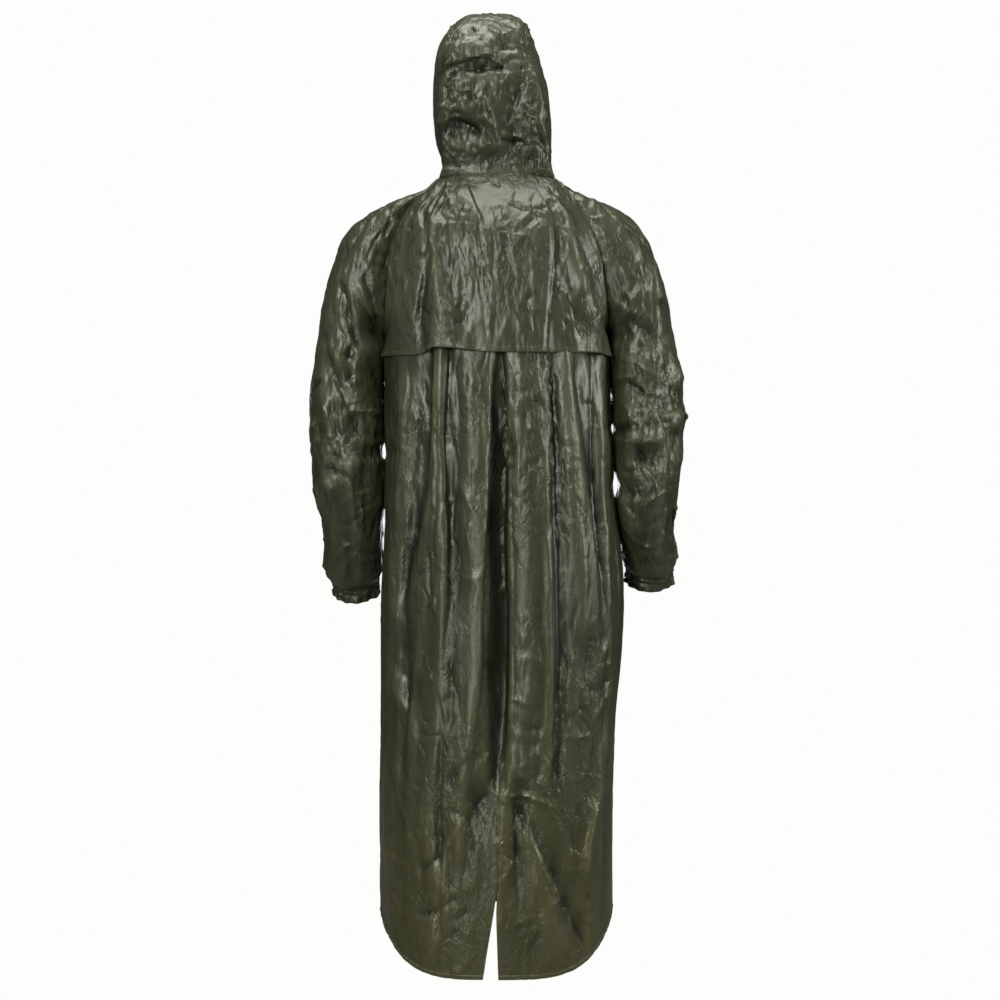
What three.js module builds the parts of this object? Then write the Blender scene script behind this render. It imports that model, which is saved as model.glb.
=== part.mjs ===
import * as THREE from 'three';

// Long hooded raincoat with raglan sleeves, worn form, in millimetres.
// The neck seam lies round the origin. z is up, y is negative towards the back, and x is positive
// towards the wearer's right. Every sewn piece is a wall of cloth with its own mesh.

const CLOTH = 1.5;
const SEAM_GAP = 0.3;
const NECK_SEAM_GAP = 0.5;
const LAYER_GAP = 0.7;
const ARMPIT_Z = -265;
const SIDE_Y = -2;
const CENTRE_LIFT = { back: 4, front: -27 };
const HEM_Z = { side: -1158, back: -1224, front: -1204 };
const HEM_ROUNDNESS = 4;
const VENT = { openZ: -1101, leftX: -20, rightX: 3 };

const ROWS_ABOVE_ARMPIT = 8;
const ROWS_BELOW_ARMPIT = 18;
const BODY_ROWS = ROWS_ABOVE_ARMPIT + ROWS_BELOW_ARMPIT;
const BACK_COLUMNS = 20;
const FRONT_COLUMNS = 14;
const SLEEVE_COLUMNS = 20;
const OVERARM_COLUMN = 9;
const FOREARM_ROWS = 13;
const YOKE_COLUMNS = 28;
const HOOD_ROWS = 18;
const HOOD_CENTRE_COLUMNS = 8;
const HOOD_SIDE_COLUMNS = 8;
const FINE_STEPS = 90;

const COAT = { color: 0x41442f, roughness: 0.38, metalness: 0 };
const COAT_DARK = { color: 0x383b29, roughness: 0.42, metalness: 0 };
const SNAP_METAL = { color: 0x3b3d35, roughness: 0.35, metalness: 0.8 };

// Level sections of the body, from the neck down
const BODY_RINGS = [
  { z: 12, halfWidth: 96, centreX: 0, backY: -64, frontY: 16 },
  { z: 0, halfWidth: 104, centreX: 0, backY: -70, frontY: 26 },
  { z: -18, halfWidth: 125, centreX: 0, backY: -88, frontY: 41 },
  { z: -45, halfWidth: 152, centreX: 0, backY: -108, frontY: 60 },
  { z: -90, halfWidth: 174, centreX: 0, backY: -128, frontY: 88 },
  { z: -150, halfWidth: 184, centreX: 0, backY: -137, frontY: 114 },
  { z: -210, halfWidth: 183, centreX: 0, backY: -139, frontY: 126 },
  { z: -265, halfWidth: 177, centreX: 0, backY: -142, frontY: 132 },
  { z: -344, halfWidth: 176, centreX: 1, backY: -147, frontY: 137 },
  { z: -440, halfWidth: 179, centreX: 4, backY: -150, frontY: 140 },
  { z: -530, halfWidth: 183, centreX: 5, backY: -152, frontY: 141 },
  { z: -590, halfWidth: 190, centreX: 8, backY: -153, frontY: 142 },
  { z: -674, halfWidth: 194, centreX: 8, backY: -155, frontY: 143 },
  { z: -760, halfWidth: 192, centreX: 6, backY: -157, frontY: 144 },
  { z: -850, halfWidth: 188, centreX: 2, backY: -160, frontY: 146 },
  { z: -960, halfWidth: 187, centreX: -1, backY: -162, frontY: 148 },
  { z: -1152, halfWidth: 187, centreX: -1, backY: -166, frontY: 151 },
  { z: -1225, halfWidth: 185, centreX: -1, backY: -166, frontY: 151 },
];
const BACK_SQUARENESS = 2.5;
const FRONT_SQUARENESS = 2.3;

// Raglan seams and the shoulder line, one row for each of the body's rows down to the armpit
const RAGLAN = {
  right: [
    { backX: 88, backZ: 0, frontX: 82, frontZ: -18, topX: 90, topZ: -3, depth: 38 },
    { backX: 105, backZ: -19, frontX: 98, frontZ: -36, topX: 113, topZ: -18, depth: 52 },
    { backX: 121, backZ: -37, frontX: 112, frontZ: -58, topX: 140, topZ: -30, depth: 62 },
    { backX: 137, backZ: -62, frontX: 126, frontZ: -84, topX: 174, topZ: -42, depth: 71 },
    { backX: 149, backZ: -95, frontX: 140, frontZ: -114, topX: 208, topZ: -58, depth: 78 },
    { backX: 160, backZ: -132, frontX: 152, frontZ: -148, topX: 233, topZ: -86, depth: 81 },
    { backX: 168, backZ: -171, frontX: 163, frontZ: -184, topX: 249, topZ: -121, depth: 81 },
    { backX: 174, backZ: -215, frontX: 172, frontZ: -222, topX: 266, topZ: -168, depth: 78 },
    { backX: 177, backZ: -265, frontX: 177, frontZ: -265, topX: 280, topZ: -236, depth: 76 },
  ],
  left: [
    { backX: 88, backZ: 0, frontX: 82, frontZ: -18, topX: 90, topZ: -3, depth: 38 },
    { backX: 107, backZ: -21, frontX: 98, frontZ: -36, topX: 113, topZ: -20, depth: 52 },
    { backX: 127, backZ: -38, frontX: 112, frontZ: -58, topX: 139, topZ: -32, depth: 62 },
    { backX: 145, backZ: -62, frontX: 126, frontZ: -84, topX: 172, topZ: -43, depth: 71 },
    { backX: 157, backZ: -95, frontX: 140, frontZ: -114, topX: 208, topZ: -60, depth: 78 },
    { backX: 166, backZ: -132, frontX: 152, frontZ: -148, topX: 240, topZ: -86, depth: 81 },
    { backX: 171, backZ: -171, frontX: 163, frontZ: -184, topX: 256, topZ: -121, depth: 81 },
    { backX: 175, backZ: -215, frontX: 172, frontZ: -222, topX: 272, topZ: -168, depth: 78 },
    { backX: 177, backZ: -265, frontX: 177, frontZ: -265, topX: 285, topZ: -236, depth: 76 },
  ],
};

// Sections of the sleeves below the armpit. The inner edge of each faces the body
const SLEEVE_RINGS = {
  right: [
    { z: -251, x: 228, halfWidth: 52, y: -3, halfDepth: 76, pitch: 0, roll: 15 },
    { z: -300, x: 238, halfWidth: 54, y: -6, halfDepth: 77, pitch: 0, roll: 8 },
    { z: -360, x: 242, halfWidth: 54, y: -11, halfDepth: 75, pitch: 0, roll: 2 },
    { z: -430, x: 243, halfWidth: 52, y: -14, halfDepth: 71, pitch: 4, roll: 0 },
    { z: -490, x: 241, halfWidth: 49, y: -9, halfDepth: 67, pitch: 10, roll: 0 },
    { z: -545, x: 240, halfWidth: 45, y: 8, halfDepth: 62, pitch: 17, roll: 0 },
    { z: -580, x: 246, halfWidth: 44, y: 28, halfDepth: 57, pitch: 22, roll: 0 },
    { z: -602, x: 249, halfWidth: 47, y: 40, halfDepth: 53, pitch: 24, roll: 0 },
    { z: -614, x: 250, halfWidth: 39, y: 46, halfDepth: 41, pitch: 24, roll: 0 },
  ],
  left: [
    { z: -251, x: 231, halfWidth: 54, y: -3, halfDepth: 76, pitch: 0, roll: 15 },
    { z: -300, x: 239, halfWidth: 55, y: -6, halfDepth: 77, pitch: 0, roll: 8 },
    { z: -360, x: 243, halfWidth: 56, y: -11, halfDepth: 75, pitch: 0, roll: 2 },
    { z: -430, x: 240, halfWidth: 56, y: -14, halfDepth: 72, pitch: 4, roll: 0 },
    { z: -490, x: 237, halfWidth: 55, y: -9, halfDepth: 68, pitch: 10, roll: 0 },
    { z: -545, x: 231, halfWidth: 49, y: 8, halfDepth: 63, pitch: 17, roll: 0 },
    { z: -595, x: 234, halfWidth: 48, y: 32, halfDepth: 58, pitch: 22, roll: 0 },
    { z: -620, x: 234, halfWidth: 48, y: 45, halfDepth: 53, pitch: 24, roll: 0 },
    { z: -633, x: 231, halfWidth: 38, y: 51, halfDepth: 41, pitch: 24, roll: 0 },
  ],
};

const CUFF = { length: 25, gathers: 14, gatherHeight: 1.6, columnsPerGather: 4, rows: 3, gap: 0.4 };

// Seam down the centre of the back, which wanders with the folds
const CENTRE_BACK_SEAM = [
  { z: 20, x: 0 },
  { z: -275, x: 2 },
  { z: -360, x: 10 },
  { z: -430, x: 17 },
  { z: -700, x: 18 },
  { z: -840, x: 21 },
  { z: -930, x: 2 },
  { z: -1050, x: 5 },
  { z: -1101, x: 0 },
  { z: -1240, x: 0 },
];

// Folds of the back. x is the distance from the centre along the cloth, reach is the fold's half
// width, and height is positive for a ridge and negative for a hollow
const BACK_FOLDS = [
  { fromX: -80, fromZ: -280, toX: -92, toZ: -900, reach: 13, height: 6 },
  { fromX: -64, fromZ: -280, toX: -70, toZ: -640, reach: 12, height: -5 },
  { fromX: -38, fromZ: -290, toX: -38, toZ: -900, reach: 22, height: 5 },
  { fromX: -2, fromZ: -330, toX: 0, toZ: -900, reach: 17, height: -9 },
  { fromX: 42, fromZ: -300, toX: 46, toZ: -820, reach: 18, height: 5 },
  { fromX: 66, fromZ: -300, toX: 78, toZ: -930, reach: 11, height: 4 },
  { fromX: 84, fromZ: -320, toX: 94, toZ: -940, reach: 12, height: -8 },
  { fromX: 102, fromZ: -300, toX: 128, toZ: -720, reach: 14, height: 5 },
  { fromX: 117, fromZ: -280, toX: 160, toZ: -520, reach: 15, height: -10 },
  { fromX: 152, fromZ: -290, toX: 186, toZ: -430, reach: 16, height: 4 },
  { fromX: -114, fromZ: -290, toX: -128, toZ: -410, reach: 14, height: -7 },
  { fromX: -128, fromZ: -410, toX: -170, toZ: -640, reach: 15, height: -7 },
  { fromX: -154, fromZ: -300, toX: -160, toZ: -520, reach: 15, height: 4 },
  { fromX: -190, fromZ: -700, toX: -135, toZ: -790, reach: 14, height: -5 },
  { fromX: -186, fromZ: -775, toX: -140, toZ: -850, reach: 13, height: 4 },
  { fromX: 180, fromZ: -770, toX: 128, toZ: -735, reach: 13, height: -5 },
  { fromX: 190, fromZ: -885, toX: 136, toZ: -1085, reach: 15, height: 6 },
  { fromX: -10, fromZ: -932, toX: -68, toZ: -1074, reach: 13, height: -6 },
  { fromX: -26, fromZ: -945, toX: -120, toZ: -1055, reach: 12, height: -5 },
  { fromX: -50, fromZ: -1000, toX: -100, toZ: -1180, reach: 17, height: 5 },
  { fromX: 36, fromZ: -955, toX: 134, toZ: -1169, reach: 12, height: -7 },
  { fromX: 30, fromZ: -940, toX: 30, toZ: -1060, reach: 11, height: -5 },
  { fromX: 60, fromZ: -1000, toX: 84, toZ: -1200, reach: 16, height: 5 },
  { fromX: -10, fromZ: -915, toX: 40, toZ: -935, reach: 12, height: 5 },
  { fromX: -150, fromZ: -1118, toX: -50, toZ: -1104, reach: 13, height: -4 },
  { fromX: -205, fromZ: -900, toX: -190, toZ: -1140, reach: 17, height: 5 },
  { fromX: 215, fromZ: -960, toX: 200, toZ: -1150, reach: 16, height: -5 },
];

// Folds of the front, measured from the centre front
const FRONT_FOLDS = [
  { fromX: -70, fromZ: -210, toX: -84, toZ: -780, reach: 18, height: 7 },
  { fromX: -100, fromZ: -150, toX: -114, toZ: -620, reach: 16, height: -7 },
  { fromX: -140, fromZ: -300, toX: -150, toZ: -900, reach: 20, height: 6 },
  { fromX: -92, fromZ: -800, toX: -122, toZ: -1190, reach: 18, height: -7 },
  { fromX: -60, fromZ: -840, toX: -66, toZ: -1200, reach: 17, height: 6 },
  { fromX: -185, fromZ: -720, toX: -170, toZ: -1150, reach: 18, height: -5 },
  { fromX: 64, fromZ: -170, toX: 76, toZ: -560, reach: 16, height: -6 },
  { fromX: 92, fromZ: -230, toX: 104, toZ: -830, reach: 18, height: 8 },
  { fromX: 132, fromZ: -280, toX: 150, toZ: -760, reach: 17, height: -7 },
  { fromX: 62, fromZ: -700, toX: 70, toZ: -1190, reach: 18, height: -6 },
  { fromX: 110, fromZ: -870, toX: 136, toZ: -1190, reach: 19, height: 7 },
  { fromX: 180, fromZ: -560, toX: 186, toZ: -1120, reach: 18, height: 5 },
];
const FOLD_FREE_EDGE = 22;
const FLY_HALF_WIDTH = 24;

// Folds of the sleeves. turn is in degrees from the edge that faces the body, round by the back
const SLEEVE_FOLDS = {
  right: [
    { fromTurn: 150, fromZ: -150, toTurn: 120, toZ: -330, reach: 15, height: -5 },
    { fromTurn: 95, fromZ: -290, toTurn: 165, toZ: -315, reach: 14, height: 5 },
    { fromTurn: 60, fromZ: -330, toTurn: 150, toZ: -352, reach: 13, height: -6 },
    { fromTurn: 55, fromZ: -395, toTurn: 160, toZ: -372, reach: 13, height: 6 },
    { fromTurn: 70, fromZ: -430, toTurn: 150, toZ: -400, reach: 13, height: -5 },
    { fromTurn: 110, fromZ: -440, toTurn: 100, toZ: -560, reach: 15, height: 4 },
    { fromTurn: 150, fromZ: -470, toTurn: 140, toZ: -600, reach: 14, height: -4 },
    { fromTurn: 210, fromZ: -250, toTurn: 225, toZ: -560, reach: 18, height: 5 },
    { fromTurn: 260, fromZ: -380, toTurn: 330, toZ: -450, reach: 16, height: -5 },
    { fromTurn: 250, fromZ: -500, toTurn: 280, toZ: -600, reach: 14, height: 4 },
  ],
  left: [
    { fromTurn: 140, fromZ: -165, toTurn: 92, toZ: -270, reach: 15, height: -5 },
    { fromTurn: 118, fromZ: -175, toTurn: 72, toZ: -265, reach: 14, height: 4 },
    { fromTurn: 165, fromZ: -255, toTurn: 118, toZ: -410, reach: 15, height: -6 },
    { fromTurn: 145, fromZ: -300, toTurn: 95, toZ: -450, reach: 15, height: 6 },
    { fromTurn: 60, fromZ: -370, toTurn: 110, toZ: -420, reach: 14, height: -5 },
    { fromTurn: 80, fromZ: -440, toTurn: 150, toZ: -500, reach: 15, height: 5 },
    { fromTurn: 110, fromZ: -500, toTurn: 90, toZ: -600, reach: 14, height: -5 },
    { fromTurn: 215, fromZ: -240, toTurn: 235, toZ: -540, reach: 18, height: 5 },
    { fromTurn: 270, fromZ: -400, toTurn: 320, toZ: -470, reach: 16, height: -5 },
    { fromTurn: 240, fromZ: -510, toTurn: 270, toZ: -610, reach: 14, height: 4 },
  ],
};

// Folds of the loose flap over the shoulder blades
const YOKE_FOLDS = [
  { fromX: -62, fromZ: -30, toX: -10, toZ: -80, reach: 13, height: 4 },
  { fromX: -10, fromZ: -80, toX: -4, toZ: -160, reach: 13, height: 4 },
  { fromX: -106, fromZ: -90, toX: -88, toZ: -200, reach: 12, height: 5 },
  { fromX: -88, fromZ: -200, toX: -44, toZ: -268, reach: 13, height: 5 },
  { fromX: 86, fromZ: -80, toX: 88, toZ: -180, reach: 12, height: -3 },
  { fromX: 106, fromZ: -90, toX: 124, toZ: -170, reach: 12, height: 5 },
  { fromX: 124, fromZ: -170, toX: 152, toZ: -235, reach: 13, height: 5 },
  { fromX: -92, fromZ: -88, toX: 82, toZ: -112, reach: 11, height: 3 },
  { fromX: -94, fromZ: -262, toX: -92, toZ: -272, reach: 18, height: 6 },
];
const YOKE = { hemZ: -275, standOff: 4.5, edgeInset: 3, cornerInset: 48 };

// Centre line of the hood from the nape over the crown to the brim, and the half width of its arches
const HOOD_LINE = [
  { along: 0, y: -70, z: 6, halfWidth: 66 },
  { along: 25, y: -67, z: 28, halfWidth: 74 },
  { along: 70, y: -84, z: 70, halfWidth: 84 },
  { along: 122, y: -98, z: 120, halfWidth: 92 },
  { along: 182, y: -96, z: 180, halfWidth: 94 },
  { along: 235, y: -70, z: 228, halfWidth: 94 },
  { along: 285, y: -30, z: 256, halfWidth: 94 },
  { along: 326, y: 10, z: 264, halfWidth: 94 },
  { along: 378, y: 60, z: 257, halfWidth: 93 },
  { along: 432, y: 112, z: 238, halfWidth: 90 },
];
const HOOD_SQUARENESS = 3.5;
const HOOD_CENTRE_HALF_WIDTH = 58;
const HOOD_CHIN_HEIGHT = 0.35;
const HOOD_NECK_FROM = 66;
const HOOD_THROAT_SHARE = 0.975;
const HOOD_LEAN = [
  { z: 0, x: 0, pinch: 1 },
  { z: 18, x: 0, pinch: 0.93 },
  { z: 56, x: -4, pinch: 0.97 },
  { z: 104, x: -8, pinch: 1 },
  { z: 162, x: -12, pinch: 1.01 },
  { z: 200, x: -15, pinch: 1.01 },
  { z: 230, x: -13, pinch: 1 },
  { z: 270, x: -9, pinch: 1 },
];
const HOOD_FOLDS = [
  { fromX: -78, fromZ: 182, toX: 2, toZ: 205, reach: 13, height: 6 },
  { fromX: -78, fromZ: 160, toX: 14, toZ: 176, reach: 11, height: -6 },
  { fromX: -74, fromZ: 60, toX: -30, toZ: 72, reach: 13, height: -6 },
  { fromX: -64, fromZ: 30, toX: -28, toZ: 40, reach: 13, height: 4 },
  { fromX: -48, fromZ: 90, toX: 4, toZ: 40, reach: 12, height: 4 },
  { fromX: 30, fromZ: 150, toX: 22, toZ: 60, reach: 12, height: -4 },
  { fromX: 66, fromZ: 130, toX: 60, toZ: 40, reach: 13, height: 4 },
];
const NECK_WALL_LEAN = 0.55;
const NECK_WINDOW = 12;

const SNAPS = { count: 6, firstZ: -90, spacing: 175, radius: 7.5, height: 2.2, segments: 12, gap: 0.5 };

const { clamp, lerp, smoothstep, degToRad } = THREE.MathUtils;
const vector = (x, y, z) => new THREE.Vector3(x, y, z);

// A smooth curve through the rows of a table, level beyond its ends
function curveThrough(rows, key) {
  const sorted = [...rows].sort((a, b) => a[key] - b[key]);
  const last = sorted.length - 1;
  const slope = (index, column) => {
    const before = sorted[Math.max(index - 1, 0)];
    const after = sorted[Math.min(index + 1, last)];
    return (after[column] - before[column]) / (after[key] - before[key]);
  };
  return (at, column) => {
    const place = clamp(at, sorted[0][key], sorted[last][key]);
    let index = 0;
    while (index < last - 1 && place > sorted[index + 1][key]) index += 1;
    const span = sorted[index + 1][key] - sorted[index][key];
    const t = (place - sorted[index][key]) / span;
    const start = sorted[index][column] * (1 + 2 * t) * (1 - t) ** 2;
    const end = sorted[index + 1][column] * (3 - 2 * t) * t * t;
    const bend = slope(index, column) * t * (1 - t) ** 2 - slope(index + 1, column) * t * t * (1 - t);
    return start + end + bend * span;
  };
}

// How far folds lift the cloth at one place
function foldHeight(folds, x, z) {
  let height = 0;
  for (const fold of folds) {
    const runX = fold.toX - fold.fromX;
    const runZ = fold.toZ - fold.fromZ;
    const along = ((x - fold.fromX) * runX + (z - fold.fromZ) * runZ) / (runX * runX + runZ * runZ);
    const share = clamp(along, 0, 1);
    const away = Math.hypot(x - fold.fromX - share * runX, z - fold.fromZ - share * runZ);
    height += fold.height * Math.exp(-((away / fold.reach) ** 2));
  }
  return height;
}

// A line of points with the distance of each from the point at a given index
function measureLine(points, zeroIndex) {
  const distance = [0];
  for (let i = 1; i < points.length; i += 1) {
    distance.push(distance[i - 1] + points[i].distanceTo(points[i - 1]));
  }
  const zero = distance[zeroIndex];
  return { points, distance: distance.map((value) => value - zero) };
}

function placeOnLine(line, at) {
  let index = 0;
  while (index < line.points.length - 2 && at > line.distance[index + 1]) index += 1;
  const span = line.distance[index + 1] - line.distance[index];
  const share = (at - line.distance[index]) / span;
  const point = line.points[index].clone().lerp(line.points[index + 1], share);
  const tangent = line.points[index + 1].clone().sub(line.points[index]).normalize();
  return { point, tangent };
}

const lineStart = (line) => line.distance[0];
const lineEnd = (line) => line.distance[line.distance.length - 1];

// Body

const bodyRing = curveThrough(BODY_RINGS, 'z');
const seamX = curveThrough(CENTRE_BACK_SEAM, 'z');
const sideName = (side) => (side > 0 ? 'right' : 'left');

// turn is 0 at the centre back, 1 at the side seam and 2 at the centre front
function bodyPoint(side, turn, z) {
  const onBack = turn <= 1;
  const angle = (onBack ? turn : 2 - turn) * Math.PI / 2;
  const power = 2 / (onBack ? BACK_SQUARENESS : FRONT_SQUARENESS);
  const depth = bodyRing(z, onBack ? 'backY' : 'frontY');
  const x = side * bodyRing(z, 'halfWidth') * Math.sin(angle) ** power;
  const y = SIDE_Y + (depth - SIDE_Y) * Math.max(Math.cos(angle), 0) ** power;
  return vector(bodyRing(z, 'centreX') + x, y, z);
}

// The turn at which the body's section is as wide as the raglan seam
function raglanTurn(x, z, squareness) {
  return Math.asin(Math.min(x / bodyRing(z, 'halfWidth'), 1) ** (squareness / 2)) / (Math.PI / 2);
}

function hemHeight(turn) {
  const centre = turn <= 1 ? HEM_Z.back : HEM_Z.front;
  const angle = (turn <= 1 ? turn : 2 - turn) * Math.PI / 2;
  return lerp(HEM_Z.side, centre, 1 - Math.sin(angle) ** HEM_ROUNDNESS);
}

// One row of the back or front, a level line of points from its left edge to its right edge
function bodyRow(row, onBack) {
  const points = [];
  for (let step = -FINE_STEPS; step <= FINE_STEPS; step += 1) {
    const side = step < 0 ? -1 : 1;
    const share = Math.abs(step) / FINE_STEPS;
    const seam = RAGLAN[sideName(side)][Math.min(row, ROWS_ABOVE_ARMPIT)];
    const edgeX = onBack ? seam.backX : seam.frontX;
    const edgeZ = onBack ? seam.backZ : seam.frontZ;
    const squareness = onBack ? BACK_SQUARENESS : FRONT_SQUARENESS;
    const edgeTurn = row < ROWS_ABOVE_ARMPIT ? raglanTurn(edgeX, edgeZ, squareness) : 1;
    const turn = onBack ? share * edgeTurn : 2 - share * edgeTurn;
    points.push(bodyPoint(side, turn, bodyRowZ(row, share, turn, edgeZ, onBack)));
  }
  return measureLine(points, FINE_STEPS);
}

function bodyRowZ(row, share, turn, edgeZ, onBack) {
  if (row > ROWS_ABOVE_ARMPIT) {
    return lerp(ARMPIT_Z, hemHeight(turn), (row - ROWS_ABOVE_ARMPIT) / ROWS_BELOW_ARMPIT);
  }
  const settle = 1 - row / ROWS_ABOVE_ARMPIT;
  const centreLift = onBack ? CENTRE_LIFT.back * settle ** 2 : CENTRE_LIFT.front * settle;
  return edgeZ + centreLift * (1 - share ** 2);
}

// Moves a point of a row out by a height, square to the row in plan
function lifted(place, height, outwardSign) {
  const outward = vector(place.tangent.y, -place.tangent.x, 0).normalize().multiplyScalar(outwardSign);
  return place.point.clone().addScaledVector(outward, height);
}

const edgeFade = (distance) => smoothstep(distance, 0, FOLD_FREE_EDGE);

function backPointAt(line, across) {
  const place = placeOnLine(line, across);
  const toEdge = Math.min(across - lineStart(line), lineEnd(line) - across);
  const belowYoke = 1 - smoothstep(place.point.z, YOKE.hemZ - 25, YOKE.hemZ + 10);
  const height = foldHeight(BACK_FOLDS, across, place.point.z) * edgeFade(toEdge) * belowYoke;
  return lifted(place, height, 1);
}

function frontPointAt(line, across) {
  const place = placeOnLine(line, across);
  const toEdge = Math.min(across - lineStart(line), lineEnd(line) - across);
  const besideFly = smoothstep(Math.abs(across), FLY_HALF_WIDTH + 4, FLY_HALF_WIDTH + 30);
  const height = foldHeight(FRONT_FOLDS, across, place.point.z) * edgeFade(toEdge) * besideFly;
  return lifted(place, height, -1);
}

// The edge of each back half: the centre seam, then the slanting edges of the vent
function backCentreX(side, z) {
  const open = clamp((VENT.openZ - z) / (VENT.openZ - HEM_Z.back), 0, 1);
  return seamX(z, 'x') + open * (side > 0 ? VENT.rightX : VENT.leftX);
}

const backRows = [];
const frontRows = [];
for (let row = 0; row <= BODY_ROWS; row += 1) {
  backRows.push(bodyRow(row, true));
  frontRows.push(bodyRow(row, false));
}

function backGrid(side) {
  return backRows.map((line) => {
    const centreZ = placeOnLine(line, 0).point.z;
    const start = backCentreX(side, centreZ);
    const end = side > 0 ? lineEnd(line) : lineStart(line);
    const points = [];
    for (let column = 0; column <= BACK_COLUMNS; column += 1) {
      points.push(backPointAt(line, lerp(start, end, column / BACK_COLUMNS)));
    }
    return points;
  });
}

function frontGrid(side, back) {
  return frontRows.map((line, row) => {
    const end = side > 0 ? lineEnd(line) : lineStart(line);
    const points = [];
    for (let column = 0; column <= FRONT_COLUMNS; column += 1) {
      points.push(frontPointAt(line, end * column / FRONT_COLUMNS));
    }
    if (row >= ROWS_ABOVE_ARMPIT) points[FRONT_COLUMNS] = back[row][BACK_COLUMNS].clone();
    return points;
  });
}

// Sleeves

// An even run of points along a fine line
function evenPoints(line, count) {
  const points = [];
  for (let i = 0; i <= count; i += 1) {
    points.push(placeOnLine(line, lerp(lineStart(line), lineEnd(line), i / count)).point);
  }
  return points;
}

// One row over the shoulder, from the back raglan seam to the front one
function shoulderRow(side, row, backEdge, frontEdge) {
  const seam = RAGLAN[sideName(side)][row];
  const middle = backEdge.clone().add(frontEdge).multiplyScalar(0.5);
  const top = vector(side * seam.topX, middle.y, seam.topZ);
  const reach = top.distanceTo(middle);
  const toTop = top.clone().sub(middle).normalize();
  const toFront = frontEdge.clone().sub(backEdge).multiplyScalar(0.5);
  const halfOpening = toFront.length();
  const depth = Math.max(seam.depth, halfOpening);
  const startAngle = Math.asin(Math.min(halfOpening / depth, 1));
  const radius = reach / (1 + Math.cos(startAngle));
  const frontward = halfOpening > 1 ? toFront.clone().normalize() : vector(0, 1, 0);
  const points = [];
  for (let step = 0; step <= FINE_STEPS; step += 1) {
    const angle = lerp(startAngle, 2 * Math.PI - startAngle, step / FINE_STEPS);
    const outward = radius * (Math.cos(startAngle) - Math.cos(angle));
    points.push(middle.clone()
      .addScaledVector(toTop, outward)
      .addScaledVector(frontward, -depth * Math.sin(angle)));
  }
  const even = evenPoints(measureLine(points, 0), SLEEVE_COLUMNS);
  even[0] = backEdge.clone();
  even[SLEEVE_COLUMNS] = frontEdge.clone();
  return even;
}

// A point on a slanted oval section. turn is 0 at the edge that faces the body and 90 at the back
function ovalPoint(side, ring, turnDegrees, grow) {
  const turn = degToRad(turnDegrees);
  const local = vector(
    -side * (ring.halfWidth + grow) * Math.cos(turn),
    -(ring.halfDepth + grow) * Math.sin(turn),
    0,
  );
  local.applyAxisAngle(vector(0, 1, 0), side * degToRad(-ring.roll));
  local.applyAxisAngle(vector(1, 0, 0), degToRad(ring.pitch));
  return local.add(vector(side * ring.x, ring.y, ring.z));
}

function sleeveRingAt(side, z) {
  const table = curveThrough(SLEEVE_RINGS[sideName(side)], 'z');
  const ring = { z };
  for (const column of ['x', 'halfWidth', 'y', 'halfDepth', 'pitch', 'roll']) {
    ring[column] = table(z, column);
  }
  return ring;
}

const sleeveEndZ = (side) => SLEEVE_RINGS[sideName(side)].at(-1).z;
const foldTurnToMm = 1.1;

function sleeveFoldHeight(side, turn, z) {
  const folds = SLEEVE_FOLDS[sideName(side)].map((fold) => ({
    ...fold,
    fromX: fold.fromTurn * foldTurnToMm,
    toX: fold.toTurn * foldTurnToMm,
  }));
  const underarm = smoothstep(Math.min(turn, 360 - turn), 24, 60);
  return foldHeight(folds, turn * foldTurnToMm, z) * underarm;
}

function sleeveGrid(side, back, front) {
  const rows = [];
  for (let row = 0; row <= ROWS_ABOVE_ARMPIT; row += 1) {
    rows.push(shoulderRow(side, row, back[row][BACK_COLUMNS], front[row][FRONT_COLUMNS]));
  }
  const firstZ = SLEEVE_RINGS[sideName(side)][0].z;
  for (let row = 1; row <= FOREARM_ROWS; row += 1) {
    const share = row / FOREARM_ROWS;
    const z = lerp(firstZ, sleeveEndZ(side), share ** 0.93);
    const points = [];
    for (let column = 0; column <= SLEEVE_COLUMNS; column += 1) {
      const turn = 360 * column / SLEEVE_COLUMNS;
      const wristFade = 1 - smoothstep(share, 0.93, 1);
      const grow = sleeveFoldHeight(side, turn, z) * wristFade;
      points.push(ovalPoint(side, sleeveRingAt(side, z), turn, grow));
    }
    points[SLEEVE_COLUMNS] = points[0].clone();
    rows.push(points);
  }
  return rows;
}

// Hood

// The neck seam of one side from the centre back round to the centre front
function neckLine(back, sleeve, front) {
  const points = [...back[0], ...sleeve[0].slice(1), ...[...front[0]].reverse().slice(1)];
  return measureLine(points, 0);
}

// How the walls stand at the neck seam, and which way the hood leaves it
function neckFrame(tangent, side) {
  const outward = vector(tangent.y, -tangent.x, 0).normalize().multiplyScalar(side);
  const wall = outward.add(vector(0, 0, NECK_WALL_LEAN)).normalize();
  const rise = wall.clone().cross(tangent).normalize().multiplyScalar(side);
  return { wall, rise };
}

function neckPlace(line, side, at) {
  const place = placeOnLine(line, clamp(at, 0, lineEnd(line)));
  const before = placeOnLine(line, Math.max(at - NECK_WINDOW, 0)).point;
  const after = placeOnLine(line, Math.min(at + NECK_WINDOW, lineEnd(line))).point;
  const frame = neckFrame(after.sub(before).normalize(), side);
  return { point: place.point, ...frame };
}

const hoodLine = curveThrough(HOOD_LINE, 'along');
const hoodLean = curveThrough(HOOD_LEAN, 'z');

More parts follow.
